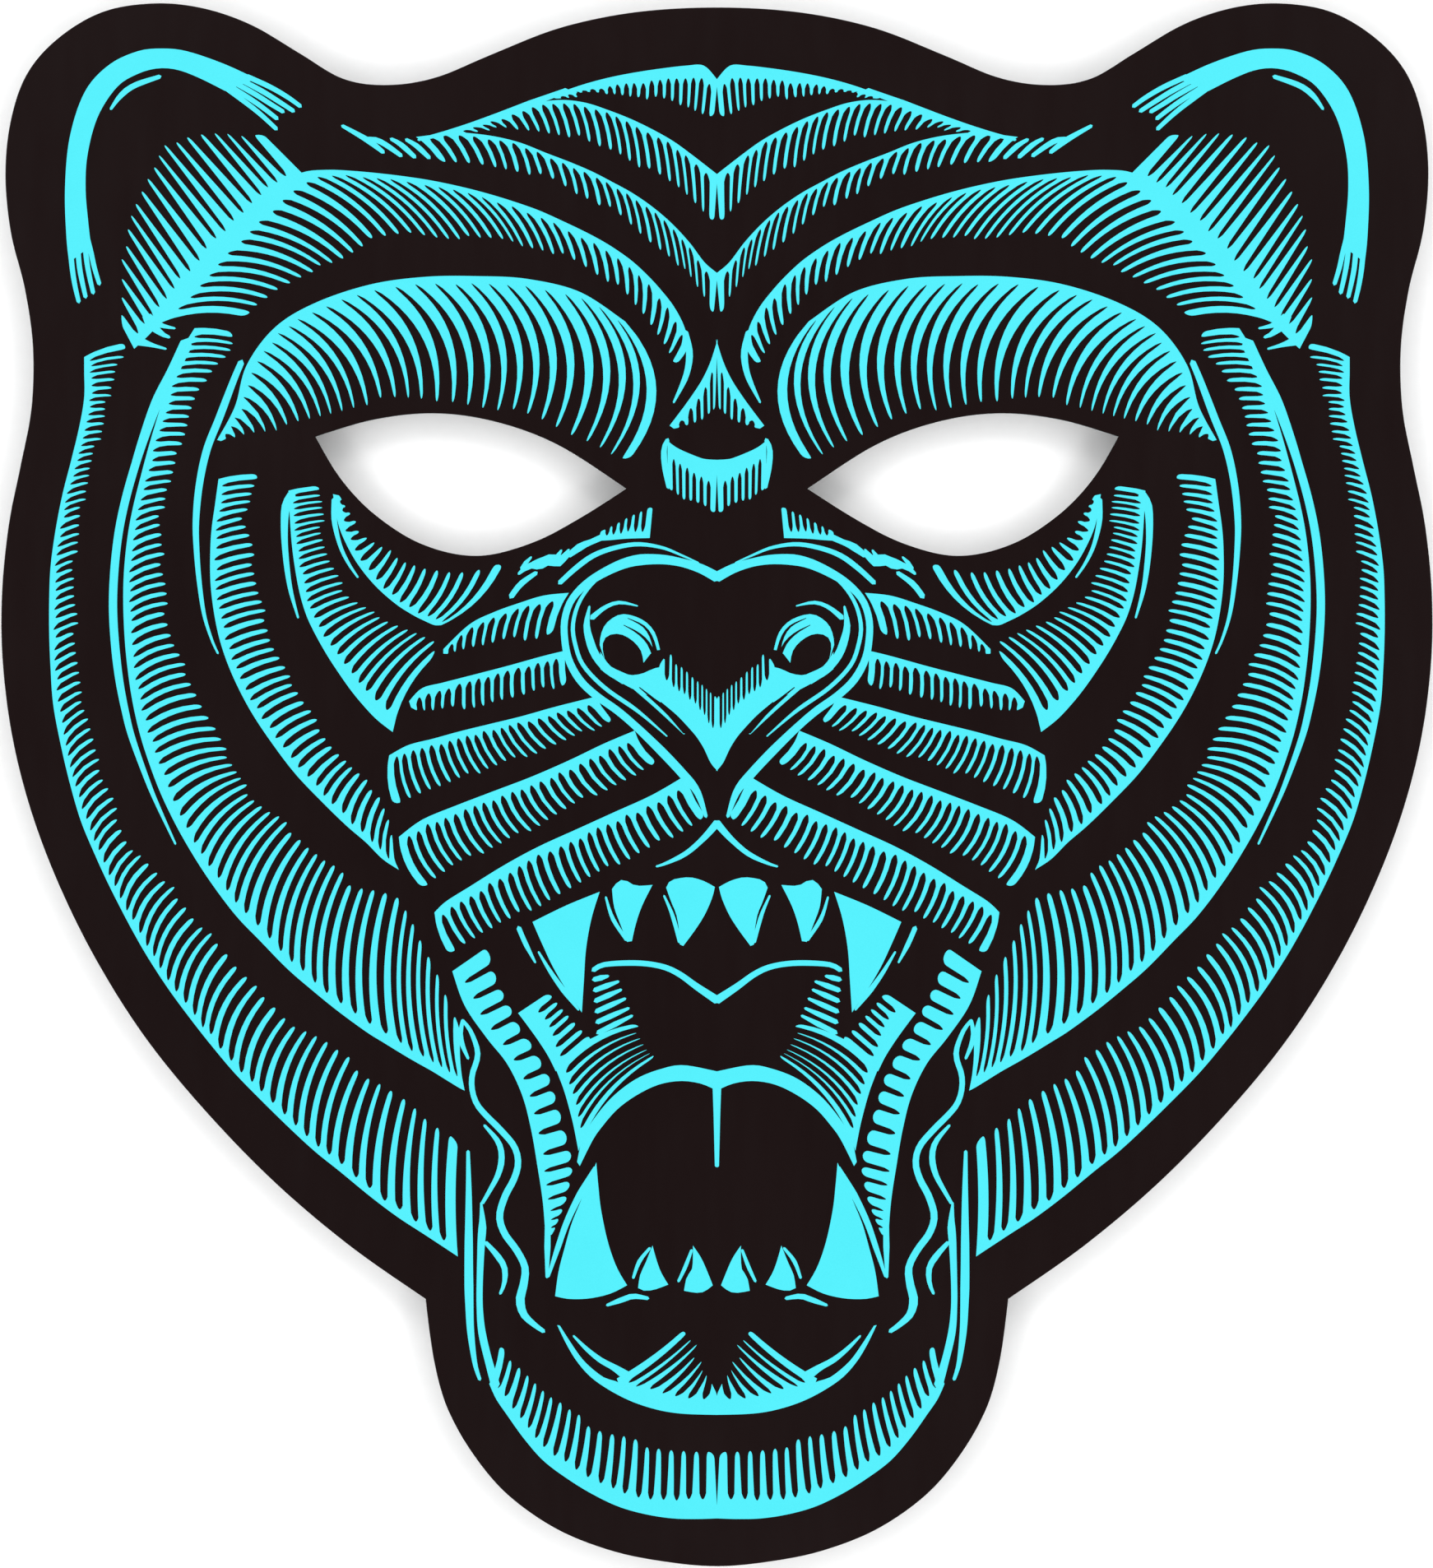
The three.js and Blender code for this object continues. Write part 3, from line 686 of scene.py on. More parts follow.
nose = [
    line([(22.9, 29.5), (20.6, 31.6), (18.1, 33.4), (15.2, 34.5), (11.6, 35.1), (8, 34.6),
          (5.2, 33.5), (2.7, 32.4)], 0.7, 0.8, 0.7, 0.6, 0.4, 0.2),
    line([(0, 30.3), (2.5, 31.6), (5.5, 32.5), (8.5, 32.9), (12, 32.7), (15.2, 31.6),
          (18.8, 29.5), (21.2, 27), (22.2, 24.1), (22.2, 21.2), (21.6, 18.2), (20, 15.3),
          (17.6, 13), (14.5, 10.8), (11.6, 8.3), (8, 4.8), (5, 1.6), (2.9, -1), (1.6, -4.6)],
         1.5, 1.2, 1.6, 1.3, 1, 1, 1.1, 1.1, 1.1, 1.3, 1.3, 0.5),
    line([(13, 32.3), (17.3, 30.1), (19.9, 27), (21, 23.4), (20.6, 20.2), (19.4, 17.3),
          (16.3, 14.1), (11.6, 10.8), (7.3, 7.1)], 0.2, 0.5, 0.6, 0.6, 0.6, 0.2),
    line([(18.6, 26), (19, 23.4), (18.6, 21.2), (17.7, 18.9), (16, 16.9), (13.4, 15.4)],
         0.3, 0.9, 1.2, 1.2, 1.2, 1.6),
    line([(18.2, 24.4), (16.3, 25.9), (14.2, 26.6), (11.6, 26.1)], 0.8, 0.6, 0.5, 0.2),
    outlined([(16.9, 22), (16, 23.7), (13.8, 24.9), (10.9, 24.1), (9.1, 22.3), (8.3, 19.7)],
             [(9.4, 19.4), (10.7, 17.8)],
             [(11.1, 19.6), (12.4, 21.1), (14.2, 22), (16, 21.7), (16.7, 20.3), (16.3, 18)],
             [(17.1, 20.4)]),
    ribbon([(17, 19.4), (15.9, 17.7), (14.5, 16.6), (12.5, 16), (10.7, 16.3), (9.4, 16.9),
            (8.2, 17.2)],
           [(17, 16.9), (15.9, 16), (14.5, 15.2), (12.5, 14.1), (10.7, 13.3), (9.4, 12.8),
            (8.2, 12)]),
    hatched([(8.4, 12.3, 8.4, 17.5), (7.3, 11.4, 7.1, 18.8), (6, 10.3, 6, 18),
             (5, 9.3, 5, 17.2), (3.9, 8.1, 3.9, 16.1), (2.9, 6.9, 2.9, 15.3),
             (1.9, 5.3, 1.9, 14.3), (0.9, 3.2, 0.9, 13.3), (-0.1, 2, -0.1, 12.3)],
            (1.15, 1.15), (3.4, 4.4, 5.8), gap=(0.5, 0.65), ragged=0.3, rounding=0.5),
    line([(12, 14.2), (8.4, 11), (4.8, 7.5)], 0.6, 0.5, 0.3),
]
nose_slits = [
    line([(13.6, 23.3), (11.6, 22.2), (10.1, 20.8), (9.2, 19)], 0.1, 0.4, 0.6),
    line([(13, 24.3), (10.8, 23.2), (9.6, 21.6), (8.9, 19.2)], 0.1, 0.4, 0.6),
    line([(11.3, 14.2), (8, 11.4), (4.7, 7.7)], 0.15, 0.5, 0.6),
]
muzzle = [
    hatched([(21.6, 28, 23.9, 22.1), (25.3, 27.6, 27.2, 21.4), (28.9, 26.5, 30.7, 21),
             (32.5, 25.2, 33.8, 20.4), (36.1, 23.4, 36.9, 19.9), (39.9, 19.8, 39.9, 19.2)],
            (1.6, 1.6), (1.3, 0.9), gap=(0.62, 0.69), bow=(0.06, 0.06)),
    hatched([(22, 19.6, 21.9, 15), (25.3, 18.8, 25.2, 13.8), (30.7, 17.3, 30.9, 12.4),
             (36.1, 15.9, 36.3, 11.3), (40, 14.9, 40.6, 10.9), (43, 14.1, 43, 11),
             (44.9, 12.2, 44.6, 11.3)],
            (1.5, 1.5), (0.8, 0.8, 1.2), gap=(0.66, 0.69), bow=(0.05, 0.05)),
    hatched([(17.5, 12.9, 15.1, 9.4), (23.5, 11.4, 19.7, 7.4), (28.5, 10, 24.8, 5.3),
             (33, 8.9, 30, 3.5), (37.5, 7.8, 35, 1.8), (41.5, 6.7, 39.3, 0.1),
             (45, 5.8, 43.3, -1.2), (47.8, 4.3, 47.3, -2.6)],
            (1.5, 1.5), (0.9, 0.9), gap=(0.62, 0.69), bow=(0.07, 0.07)),
    hatched([(12, 7.9, 8.5, 3.2), (16.5, 6, 13, 0.8), (21.5, 3.6, 18.1, -1.6),
             (27, 1.2, 23.6, -4.5), (32.5, -0.9, 29, -7.4), (38, -3, 34.6, -10),
             (43, -5.1, 39.7, -12.6), (46.4, -7.6, 43.2, -14.8)],
            (1.54, 1.54), (1.1, 1.1), gap=(0.56, 0.7), bow=(0.09, 0.09)),
    hatched([(4.5, 1.4, 1.6, -4.6), (9.5, -1.5, 6.3, -7.4), (15, -4, 12.2, -10.5),
             (20.5, -6.5, 18, -13.4), (26, -9, 23.5, -16.2), (31, -11.7, 28.4, -18.8),
             (36, -14.8, 33.2, -21.2), (39.5, -17, 36.6, -22.8), (41.2, -18.6, 39.2, -24.5)],
            (1.7, 1.7), (1.2, 1.3), gap=(0.55, 0.7), bow=(0.06, 0.06)),
    line([(0, -5.6), (1.95, -7.8), (4.5, -10), (7.3, -11.4), (8.8, -11.9)], 1.1, 0.8, 0.7, 0.3),
]
upper_teeth = [
    outlined([(22, -17.6), (17.1, -15.6)],
             [(18.3, -19.5), (19.1, -24), (19.4, -28.5), (19.7, -33.2)],
             [(21.9, -30), (23.9, -26.6), (25.5, -23.2), (26.9, -20)]),
    line([(26, -24.4), (24.2, -27.4), (22.2, -30.2), (20.2, -32.8)], 0.3, 0.6, 0.8, 0.3),
    line([(28.9, -20.9), (27.9, -23.2), (26.5, -25.9)], 0.7, 0.7, 0.3),
    outlined([(14.3, -14), (13.2, -14), (11.8, -14.7), (9.4, -14.6)],
             [(10.9, -17.6), (11.8, -20.2), (12.4, -22.8)],
             [(13.1, -22.9)],
             [(14.1, -20.3), (15, -17.8), (15.3, -15.2)]),
    line([(16.2, -16.4), (15.2, -19.5), (13.2, -22.6)], 0.3, 0.6, 0.5),
    outlined([(6.9, -14.1), (5.9, -13.7), (3.9, -13.5), (2, -14), (0.3, -14.9)],
             [(0.7, -16.5), (1.8, -19), (3.2, -21.2), (4.9, -23.5)],
             [(5.4, -23.3)],
             [(5.5, -21.5), (5.9, -19), (6.7, -17), (7.4, -15)]),
    line([(7.7, -16.2), (6.5, -19), (5.4, -22.9)], 0.3, 0.6, 0.6),
]
throat = [
    line([(18, -27), (16.3, -26.2), (11.6, -26), (8, -26.5), (5.5, -27.6), (3, -29.4),
          (0, -31.4)], 0.7, 0.8, 0.8, 0.9, 1.2),
    hatched([(29, -33.3, 24.5, -30.3), (27.5, -35.3, 23.2, -31.7), (26, -37.4, 21.8, -33.7),
             (24.6, -39.6, 20.1, -35.7), (23.5, -41.8, 18.3, -37.4)],
            (1.5, 1.5), (2.8, 2.2, 1.4), gap=(0.5, 0.55)),
    hatched([(23.6, -41.2, 11.9, -34.9), (22.4, -44.3, 11.2, -36.3), (21.6, -47, 10.7, -37.8),
             (20.9, -49.8, 10, -39), (20.2, -53.4, 9.2, -39.8)],
            (1.45, 1.45), (1.3, 1.5), gap=(0.5, 0.88), bow=(-0.09, -0.09)),
]
for bar, tip in enumerate([(15.9, -27.9), (14.4, -28.7), (14, -29.9), (13.4, -31.2),
                           (12.9, -32.6), (12.4, -33.7)]):
    throat.append(line([(17.9 - 0.12 * bar, -28.4 - 1.55 * bar), tip], 0.7, 0.8, 0.4))
tongue = [
    ribbon([(20.4, -55), (19.5, -51.3), (17.4, -48), (14.9, -45.2), (11.6, -42.8), (8, -41.4),
            (4.8, -40.9), (0, -41.8)],
           [(20, -55.6), (18.1, -51.8), (16.7, -49.8), (14.5, -47.3), (11.6, -45.2),
            (8.4, -43.7), (5.2, -43.2), (2.3, -43.6), (0, -44.6)]),
    line([(0.1, -43.5), (0.1, -46), (0.1, -50), (0.1, -55.6)], 1.1, 0.8, 0.6, 0.4),
]
gum = [
    hatched([(38.6, -27.2, 33.4, -23.6), (36.8, -32.2, 31.6, -29.6), (33.6, -36.9, 29.2, -34.5),
             (30.6, -40.7, 26.3, -38.9), (28.4, -45.3, 24.2, -43.5), (27.1, -50.3, 22.6, -48.8),
             (26.2, -55.5, 21.4, -54.2), (25.4, -60.8, 21.6, -59.6), (25, -66, 24.1, -65.6)],
            (2.5, 2.9, 2.9, 1), (1.5, 1.2, 1, 0.8), gap=(0.24, 0.34), ragged=0.15, rounding=0.8),
    line([(24.7, -63), (24.7, -66), (24.8, -71.8)], 0.8, 0.9, 0.4),
]
lips = [
    line([(37.1, -34.4), (36, -35.8), (35, -38.4), (35, -40.1), (35.7, -42.3), (35.7, -44.5),
          (35, -46.6), (33.5, -48.4), (31.7, -50.2), (29.6, -52.7), (29, -55.1), (29.6, -57.5),
          (30.9, -60), (31.7, -62.9), (31, -65.4), (29.2, -67.9), (28, -70.4), (28.2, -72.9),
          (28.7, -75.1), (28.2, -77.2), (26.7, -78.7), (25.3, -79.7)],
         0.5, 0.8, 0.8, 0.9, 0.9, 1, 1, 1, 1.3, 0.6),
    line([(37.1, -34.4), (37.4, -37), (36.3, -39.9)], 0.5, 0.8, 0.4),
    line([(33.9, -49.7), (31.9, -52.1), (31.4, -54.4), (31.9, -56.8), (33.1, -59.1),
          (34.2, -61)], 0.4, 0.8, 0.9, 0.7, 0.5),
    line([(33.7, -66.8), (32.1, -68.6), (31, -70.4), (31, -72.6), (31.6, -74.2)],
         0.6, 0.9, 0.8, 0.4),
]
jaw = [
    line([(36.3, -53.5), (36.2, -60), (36.2, -70.8), (36.1, -76.2), (35.9, -80), (35.3, -84.4),
          (34.6, -86.7)], 0.5, 0.9, 1.2, 1.3, 1, 0.5),
    line([(34.4, -61), (34.2, -64), (34.4, -67.2), (34.6, -72.6), (34.6, -76.2), (34.3, -79.7),
          (33.5, -83.3), (32.3, -87.6)], 0.3, 1.2, 1, 0.9, 0.9, 1.1, 1.1, 1.3),
    hatched([(33.2, -87.4, 31.7, -81.8), (32.2, -89.6, 30.2, -83.4), (30.7, -91.8, 28.4, -85.1),
             (28.2, -95.3, 25.9, -87.8), (25.3, -98.6, 23, -90.2), (21.7, -101.3, 20, -92.3),
             (18.1, -103.5, 16.8, -94.2), (14.3, -105.3, 13.2, -95.3), (10.4, -106.4, 9.8, -96.4),
             (6.5, -107, 6.2, -97), (3, -107.1, 2.8, -97.4), (-0.1, -107, 0.4, -97.6)],
            (1.95, 1.95), (1.3, 1.9, 2.9), gap=(0.38, 0.66), bow=(0.04, 0.02, 0)),
]
lower_lip = [
    ribbon([(23.3, -78.8), (22, -81.5), (20.5, -84), (18.5, -86.3), (16, -88.1), (13, -89.7),
            (10, -90.8), (7, -91.5), (4, -91.8), (-0.1, -91.9)],
           [(22.9, -78.9), (21.3, -81.4), (19.6, -83.8), (17.8, -85.5), (16.2, -86.6),
            (15, -86.9), (12, -88.2), (9, -89.2), (5, -90), (-0.1, -90.3)]),
    line([(20.9, -80.4), (19, -82.3), (17, -83.9), (15, -85), (13.2, -86.2)],
         0.3, 0.6, 0.8, 0.9, 1.4),
    hatched([(14.6, -86.6, 4.6, -79.3), (13.9, -87.9, 4.2, -80.7), (11.9, -88.4, 3, -81.6),
             (9.8, -89, 3.3, -83.4), (7.9, -89.6, 2.2, -84.1), (5.6, -90.1, 2.1, -85.6),
             (2.8, -90.4, 1.3, -86.5), (-0.1, -90.6, 0.3, -88.2)],
            (1.5, 2), (1.1, 1), gap=(0.35, 0.85), bow=(0.03, 0.06), ragged=0.1),
]
lower_teeth = [
    outlined([(17.3, -58.5), (16.9, -62), (15.9, -66.7), (14.6, -70.4), (13.1, -73)],
             [(15.5, -74.2), (18.5, -74.9), (21.5, -75), (23.6, -74.6)],
             [(23.1, -71), (22.2, -67.5), (21.2, -64), (19.9, -60.8), (17.6, -55.1)]),
    line([(17.8, -55.8), (20.1, -60), (21.9, -63.8), (23.2, -67.5), (24.6, -71.7)],
         0.4, 1, 0.9, 0.8, 0.4),
    outlined([(8.9, -69), (8.2, -71), (7.1, -72.9)],
             [(9, -73.6), (10.5, -73.8), (11.5, -73.4)],
             [(11.2, -71.5), (10.4, -69.7), (9.4, -67.2)]),
    line([(9.8, -67.6), (11.3, -69.5), (12.2, -71.9)], 0.4, 0.6, 0.4),
    outlined([(2.3, -69), (1.4, -71), (0.6, -73)],
             [(1.8, -73.9), (3, -74.1), (4.8, -73.8)],
             [(4.4, -71.8), (3.6, -70.5), (3.5, -67.2)]),
    line([(3.7, -67.9), (4.6, -70.3), (5.6, -72.4)], 0.4, 0.6, 0.4),
    line([(16, -75.9), (13.8, -75.1), (12.2, -74.6), (10.1, -74.9)], 0.4, 0.8, 0.8, 0.5),
]
lit = (ear + brow + crown + eyelid + bridge + outer_stripe + second_stripe + third_stripe
       + fourth_stripe + under_eye + nose + muzzle + upper_teeth + throat + tongue + gum
       + lips + jaw + lower_lip + lower_teeth)


def both_sides(shapes, material):
    """Shapes of the right half and their mirror images, all anticlockwise."""
    inlays = []
    for shape in shapes:
        for side in (1, -1):
            half = [(side * x, y) for x, y in shape]
            inlays.append((half if area_of(half) > 0 else half[::-1], material))
    return inlays


def film_finish():
    """Black satin film, its ink a little uneven, with the fine tooth of a laminate."""
    paint = Finish("black_film")
    grain = paint.noise(0.3, 3)
    drift = paint.noise(30, 2)
    rubs = paint.noise(2.5, 5, (1, 6, 1))
    return paint.surface(
        Base_Color=paint.blend(drift * 0.7 + grain * 0.3,
                               (0.0048, 0.0013, 0.0013), (0.0064, 0.0018, 0.0018)),
        Roughness=0.26 + drift * 0.05 + rubs * 0.06,
        Specular_IOR_Level=0.25,
        Normal=paint.bump(grain, 0.006),
    )


def phosphor_finish():
    """Lit phosphor behind clear film: an even cyan glow with a fine powdery grain."""
    paint = Finish("lit_phosphor")
    grain = paint.noise(0.22, 2)
    clouds = paint.noise(9, 3)
    glow = paint.blend(grain * 0.55 + clouds * 0.45, (0.042, 0.718, 0.814), (0.050, 0.783, 0.884))
    return paint.surface(
        Base_Color=paint.blend(grain, (0.020, 0.075, 0.080), (0.026, 0.090, 0.095)),
        Roughness=0.34 + clouds * 0.08,
        Emission_Color=glow,
        Emission_Strength=1.0,
        Normal=paint.bump(grain, 0.004),
    )


film_low, film_high = (corner.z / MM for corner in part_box("face_film"))
film_edges = lamp_edges
face_mesh = bmesh.new()
add_walls(face_mesh, film_edges, [
    (0.0, film_low),
    (0.0, film_high - FILM_EDGE_ROUND),
    (FILM_EDGE_ROUND, film_high),
])
add_face(face_mesh, film_edges, film_low, up=False)
add_face(face_mesh, [set_back(loop, FILM_EDGE_ROUND) for loop in film_edges], film_high,
         inlays=both_sides(lit, 1) + both_sides(nose_slits, 0))
face = finished("printed_face", face_mesh, [film_finish(), phosphor_finish()])
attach(face, "root")
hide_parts("face_film")


# Strap patches: one at each temple, 20 by 30 mm patches of black nylon hook tape, set in the
# foam's pockets and glued. A head strap with loop tape presses onto them. Each is a woven base
# with rows of fine hooks, cut loops of nylon thread that end just short of the foam's back.
HOOK_PITCH = 1.25
HOOK_ROW = 1.35
HOOK_THICK = 0.2
HOOK_SPAN = 0.5
HOOK_STRAY = 0.1
HOOK_SHORT = 0.15
SELVEDGE = 1.2
TAPE_BASE = 0.8
TAPE_ROUND = 0.2
WARP_THREAD = 0.5
WEFT_THREAD = 0.4


def hook_finish():
    """Black woven nylon tape."""
    paint = Finish("hook_tape")
    warp, weft = (
        paint.node("ShaderNodeTexWave", {"bands_direction": way},
                   {"Vector": paint.place, "Scale": 1 / (thread * MM) / math.tau}, "Fac")
        for way, thread in (("X", WARP_THREAD), ("Y", WEFT_THREAD)))
    weave = warp * weft
    lint = paint.noise(3, 4)
    return paint.surface(
        Base_Color=paint.blend(weave * 0.5 + lint * 0.5,
                               (0.006, 0.006, 0.007), (0.020, 0.020, 0.021)),
        Roughness=0.5 + lint * 0.2,
        Sheen_Weight=0.2,
        Normal=paint.bump(weave, 0.08),
    )


def hook_thread_finish():
    """Glossy black nylon thread, a little paler in random streaks."""
    paint = Finish("hook_thread")
    streak = paint.noise(0.6, 2)
    return paint.surface(
        Base_Color=paint.blend(streak, (0.010, 0.010, 0.011), (0.026, 0.026, 0.028)),
        Roughness=0.28 + streak * 0.2,
        Normal=paint.bump(streak, 0.01),
    )


def add_hook(mesh, x, y, base, foot, lean):
    """One cut loop of thread that hangs from the tape and turns back up at its end."""
    bend = [(0.0, base + 0.1), (0.02, base - 0.25), (0.1, foot + 0.12), (0.3, foot + 0.02),
            (0.46, foot + 0.12), (HOOK_SPAN, foot + 0.32)]
    half = HOOK_THICK / 2
    rings = []
    for i, (out, height) in enumerate(bend):
        before, after = bend[max(i - 1, 0)], bend[min(i + 1, len(bend) - 1)]
        way = Vector((after[0] - before[0], after[1] - before[1])).normalized()
        ring = []
        for across, off in ((-1, -1), (1, -1), (1, 1), (-1, 1)):
            along = (out - HOOK_SPAN / 2) + off * half * way.y
            rise = height - off * half * way.x
            corner = (x + lean * along, y + across * half, rise)
            ring.append(mesh.verts.new([value * MM for value in corner]))
        rings.append(ring)
    faces = []
    for above, below in zip(rings, rings[1:]):
        for k in range(len(above)):
            faces.append(mesh.faces.new((above[k - 1], above[k], below[k], below[k - 1])))
    faces.append(mesh.faces.new(rings[0]))
    faces.append(mesh.faces.new(rings[-1]))
    for face in faces:
        face.material_index = 1


tape_materials = [hook_finish(), hook_thread_finish()]
for side in ("right", "left"):
    node = "strap_patch_" + side
    tape_low, tape_high = (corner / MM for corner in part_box(node))
    tape_edge = rims(node, tape_high.z)
    tape_mesh = bmesh.new()
    base = tape_high.z - TAPE_BASE
    add_walls(tape_mesh, tape_edge, [
        (TAPE_ROUND, base),
        (TAPE_ROUND * 0.25, base + TAPE_ROUND * 0.3),
        (0.0, base + TAPE_ROUND * 1.25),
        (0.0, tape_high.z),
    ])
    add_face(tape_mesh, [set_back(tape_edge[0], TAPE_ROUND)], base, up=False)
    add_face(tape_mesh, tape_edge, tape_high.z)
    across = int((tape_high.x - tape_low.x - 2 * SELVEDGE) / HOOK_PITCH)
    down = int((tape_high.y - tape_low.y - 2 * SELVEDGE) / HOOK_ROW)
    centre = (tape_low + tape_high) / 2
    for row in range(down + 1):
        for step in range(across + 1):
            x = centre.x + (step - across / 2) * HOOK_PITCH + hand.uniform(-HOOK_STRAY, HOOK_STRAY)
            y = centre.y + (row - down / 2) * HOOK_ROW + hand.uniform(-HOOK_STRAY, HOOK_STRAY)
            foot = tape_low.z + hand.uniform(0.0, HOOK_SHORT)
            add_hook(tape_mesh, x, y, base, foot, 1 if row % 2 else -1)
    threads = [tape_face for tape_face in tape_mesh.faces if tape_face.material_index == 1]
    bmesh.ops.recalc_face_normals(tape_mesh, faces=threads)
    patch = finished("hook_patch_" + side, tape_mesh, tape_materials)
    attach(patch, "root")
    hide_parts(node)


# Lead socket: a two-pin housing moulded in natural nylon, 9 mm wide, glued in the chin's notch.
# Its mouth faces down out of the chin, with a key slot in the top wall, and two square tinned
# pins stand in it, which pass through the back wall to the lamp's contacts.
SOCKET_CORNER = 0.5
SOCKET_EDGE = 0.18
MOUTH_WIDTH = 7.2
MOUTH_HEIGHT = 1.4
MOUTH_CORNER = 0.15
MOUTH_DEPTH = 5.0
KEY_WIDTH = 3.0
KEY_CORNER = 0.1
KEY_DEPTH = 2.5
PAST_EDGE = 1
PIN_THICK = 0.6
PIN_CORNER = 0.08
PIN_GAP = 2.5
PIN_ROOT = 0.5
PIN_LENGTH = 3.6
PIN_TAPER = 0.12
PIN_TIP_ROUND = 0.07


def socket_finish():
    """Natural nylon: waxy ivory, with faint flow marks from the mould."""
    paint = Finish("natural_nylon")
    flow = paint.noise(2.2, 3, (1, 3, 1))
    grain = paint.noise(0.15, 2)
    return paint.surface(
        Base_Color=paint.blend(flow, (0.70, 0.68, 0.60), (0.80, 0.78, 0.71)),
        Roughness=0.38 + flow * 0.14,
        Subsurface_Weight=0.15,
        Subsurface_Radius=(0.002, 0.0018, 0.0014),
        Subsurface_Scale=0.5,
        Normal=paint.bump(grain, 0.01),
    )


def pin_finish():
    """Tinned brass, with fine marks along the pin."""
    paint = Finish("tinned_pin")
    marks = paint.noise(0.3, 3, (1, 8, 1))
    return paint.surface(
        Base_Color=paint.blend(marks, (0.62, 0.60, 0.56), (0.80, 0.79, 0.76)),
        Metallic=1.0,
        Roughness=0.22 + marks * 0.2,
    )


def box_loop(low, high, corner, parts=5):
    """A rounded rectangle, anticlockwise."""
    loop = []
    for quarter, (x, y) in enumerate([(high[0], high[1]), (low[0], high[1]),
                                      (low[0], low[1]), (high[0], low[1])]):
        sx, sy = (1 if x == high[0] else -1), (1 if y == high[1] else -1)
        for k in range(parts + 1):
            angle = math.radians(90 * (quarter + k / parts))
            loop.append((x - sx * corner + corner * math.cos(angle),
                         y - sy * corner + corner * math.sin(angle)))
    return loop


def block(loop, profile):
    """A closed block from a loop, through rings of (set back, height), in mm."""
    mesh = bmesh.new()
    add_walls(mesh, [loop], profile)
    add_face(mesh, [set_back(loop, profile[0][0])], profile[0][1], up=False)
    add_face(mesh, [set_back(loop, profile[-1][0])], profile[-1][1])
    return mesh


stand_up = Matrix.Rotation(math.radians(90), 4, "X")
low, high = (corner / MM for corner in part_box("lead_socket"))
middle = (low.z + high.z) / 2
shell_loop = box_loop((low.x, low.z), (high.x, high.z), SOCKET_CORNER)
shell_mesh = block(shell_loop, soft_edge(SOCKET_EDGE, -high.y)
                   + soft_edge(SOCKET_EDGE, -low.y, -1)[::-1])
shell = finished("two_pin_socket", shell_mesh, [socket_finish(), pin_finish()], turn=stand_up)
mouth_loop = box_loop((-MOUTH_WIDTH / 2, middle - MOUTH_HEIGHT / 2),
                      (MOUTH_WIDTH / 2, middle + MOUTH_HEIGHT / 2), MOUTH_CORNER)
key_loop = box_loop((-KEY_WIDTH / 2, middle), (KEY_WIDTH / 2, high.z + PAST_EDGE), KEY_CORNER)
for loop, depth in ((mouth_loop, MOUTH_DEPTH), (key_loop, KEY_DEPTH)):
    cutter_mesh = block(loop, [(0.0, -low.y - depth), (0.0, -low.y + PAST_EDGE)])
    cutter = finished("cutter", cutter_mesh, [], turn=stand_up)
    cut = shell.modifiers.new("cut", "BOOLEAN")
    cut.operation = "DIFFERENCE"
    cut.solver = "EXACT"
    cut.object = cutter
    bpy.context.view_layer.objects.active = shell
    bpy.ops.object.modifier_apply(modifier=cut.name)
    bpy.data.objects.remove(cutter)
socket_mesh = bmesh.new()
socket_mesh.from_mesh(shell.data)
for side in (-1, 1):
    x = side * PIN_GAP / 2
    half = PIN_THICK / 2
    pin_loop = box_loop((x - half, middle - half), (x + half, middle + half), PIN_CORNER,
                        parts=2)
    start = -low.y - MOUTH_DEPTH - PIN_ROOT
    tip = start + PIN_ROOT + PIN_LENGTH
    pin = block(pin_loop, [(0.0, start), (0.0, tip - PIN_TAPER), (PIN_TIP_ROUND, tip)])
    for pin_face in pin.faces:
        pin_face.material_index = 1
    bmesh.ops.transform(pin, matrix=stand_up, verts=pin.verts)
    bmesh.ops.remove_doubles(pin, verts=pin.verts, dist=WELD * MM / 10)
    pin_data = bpy.data.meshes.new("pin")
    pin.to_mesh(pin_data)
    pin.free()
    socket_mesh.from_mesh(pin_data)
    bpy.data.meshes.remove(pin_data)
socket_mesh.to_mesh(shell.data)
socket_mesh.free()
shell.data.shade_smooth()
shell.data.set_sharp_from_angle(angle=SMOOTH_BELOW)
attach(shell, "root")
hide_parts("lead_socket")


# Floor: a plain matt white board, far wider than the mask. The mask lies loose on it, with its
# face up.
FLOOR_HALF = 3000
FLOOR_CORNER = 40
FLOOR_DROP = 0.02


def floor_finish():
    """Matt white board."""
    paint = Finish("white_board")
    tooth = paint.noise(1.5, 3)
    return paint.surface(
        Base_Color=paint.blend(tooth, (0.93, 0.93, 0.93), (0.96, 0.96, 0.96)),
        Roughness=0.75 + tooth * 0.1,
        Specular_IOR_Level=0.2,
    )


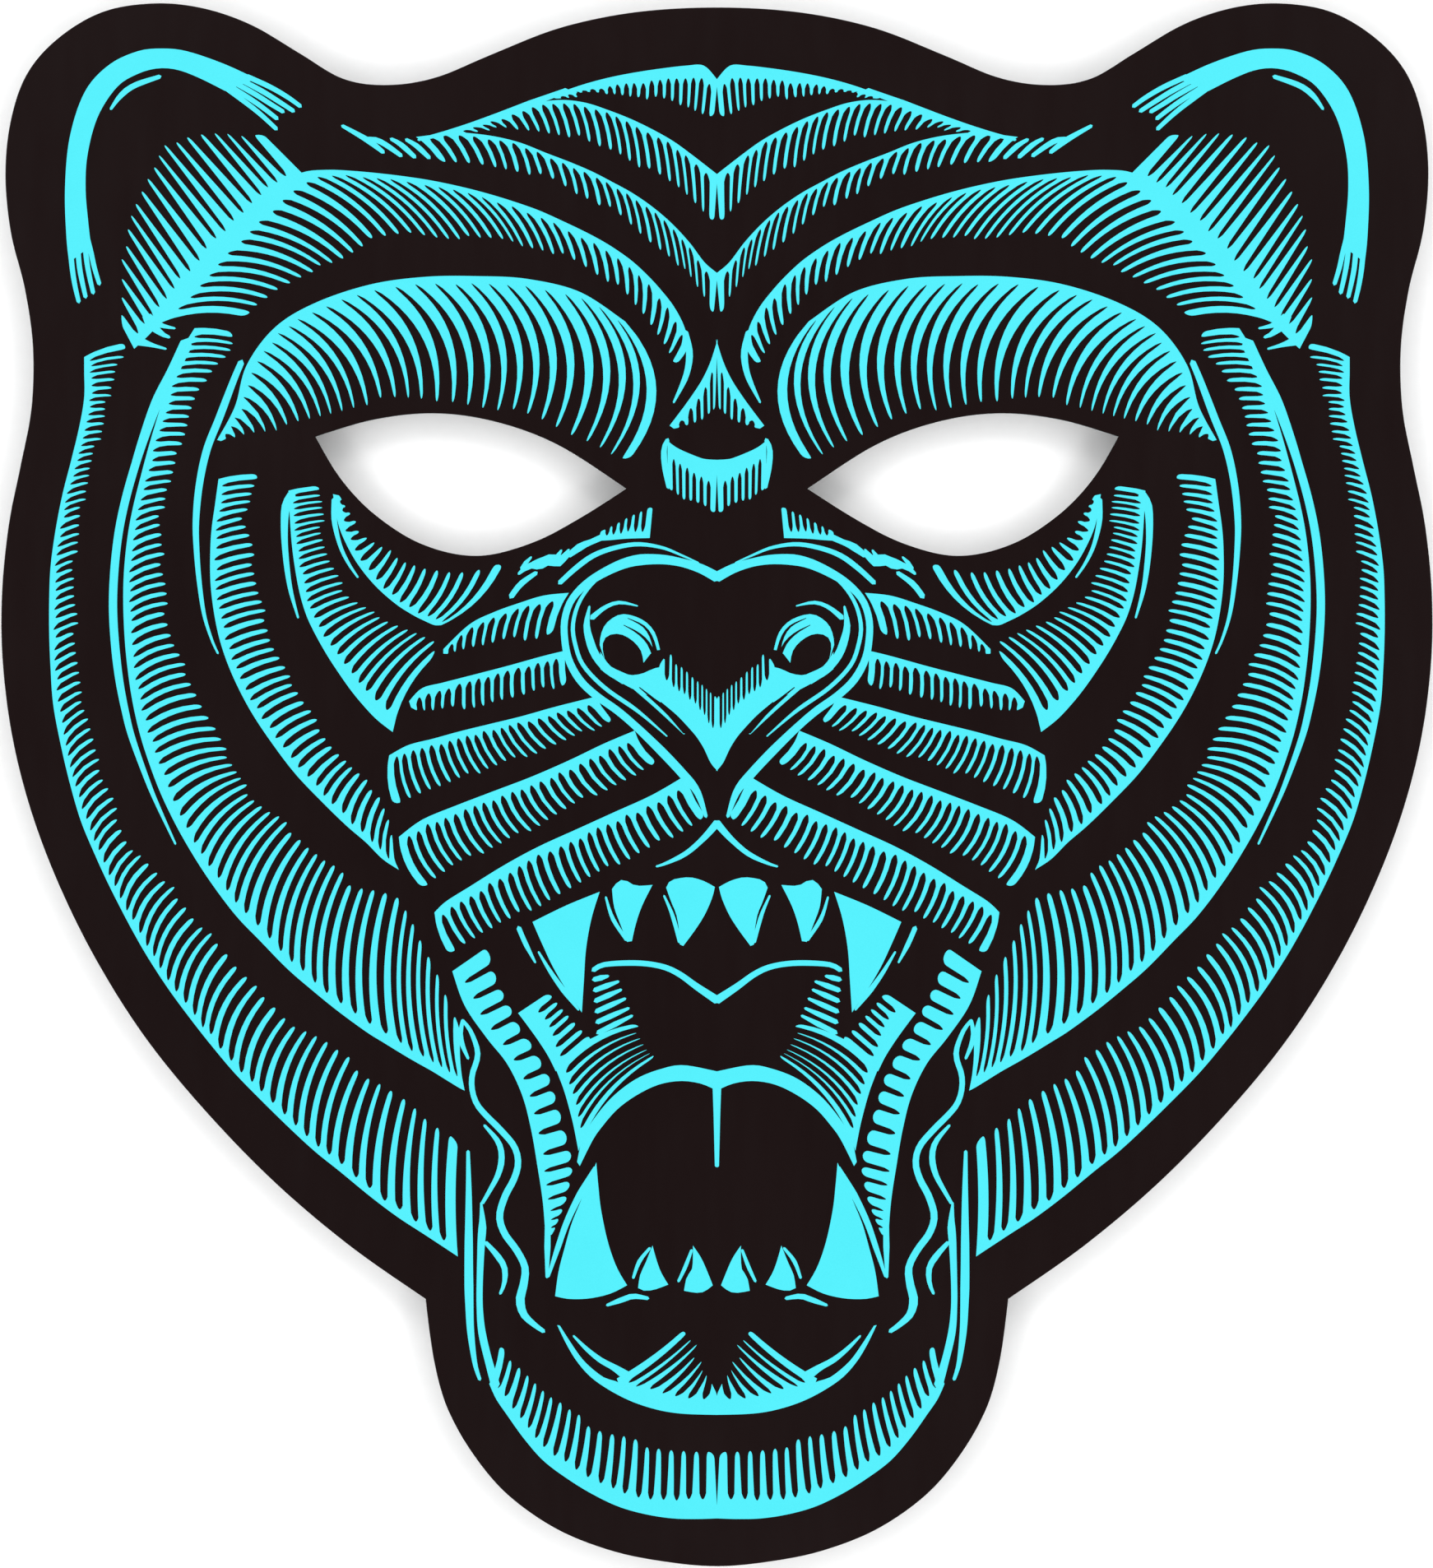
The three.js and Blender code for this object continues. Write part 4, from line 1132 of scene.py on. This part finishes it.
floor_mesh = bmesh.new()
board = box_loop((-FLOOR_HALF, -FLOOR_HALF), (FLOOR_HALF, FLOOR_HALF), FLOOR_CORNER)
add_face(floor_mesh, [board], -FLOOR_DROP)
floor = finished("floor", floor_mesh, [floor_finish()])


# Light: eight broad soft boxes stand in a low ring round the mask, so that the board is evenly
# bright and none of them is mirrored in the film from above. A dim room light fills in.
BOXES = 8
SOFT_BOX = 0.9
BOX_DISTANCE = 1.5
BOX_HEIGHT = math.radians(38)
BOX_POWER = 6.75
ROOM_LIGHT = 0.1

room = bpy.data.worlds.new("room")
room.use_nodes = True
room.node_tree.nodes["Background"].inputs["Color"].default_value = (1, 1, 1, 1)
room.node_tree.nodes["Background"].inputs["Strength"].default_value = ROOM_LIGHT
bpy.context.scene.world = room
for number in range(BOXES):
    turn = math.tau * (number + 0.5) / BOXES
    lamp_data = bpy.data.lights.new("soft_box", "AREA")
    lamp_data.shape = "RECTANGLE"
    lamp_data.size = SOFT_BOX
    lamp_data.size_y = SOFT_BOX
    lamp_data.energy = BOX_POWER
    soft_box = bpy.data.objects.new("soft_box_" + str(number + 1), lamp_data)
    out = math.cos(BOX_HEIGHT)
    soft_box.location = Vector((math.cos(turn) * out, math.sin(turn) * out,
                                math.sin(BOX_HEIGHT))) * BOX_DISTANCE
    soft_box.rotation_mode = "QUATERNION"
    soft_box.rotation_quaternion = soft_box.location.to_track_quat("Z", "Y")
    bpy.context.scene.collection.objects.link(soft_box)
bpy.context.scene.view_settings.view_transform = "Standard"


# Camera: straight above, looking down on the mask with its ears at the top. The frame is
# 228.72 mm high at the lit face, and its middle is just up and left of the mask's.
FRAME_HEIGHT = 228.72
FRAME_CENTRE = (-0.06, 0.12)
LENS = 100
FILM_BACK = 36

camera_data = bpy.data.cameras.new("camera")
camera_data.lens = LENS
camera_data.sensor_width = FILM_BACK
camera_data.clip_start = 0.05
camera_data.clip_end = 20
camera = bpy.data.objects.new("camera", camera_data)
camera.location = (FRAME_CENTRE[0] * MM, FRAME_CENTRE[1] * MM,
                   (film_high + FRAME_HEIGHT * LENS / FILM_BACK) * MM)
bpy.context.scene.collection.objects.link(camera)
bpy.context.scene.camera = camera
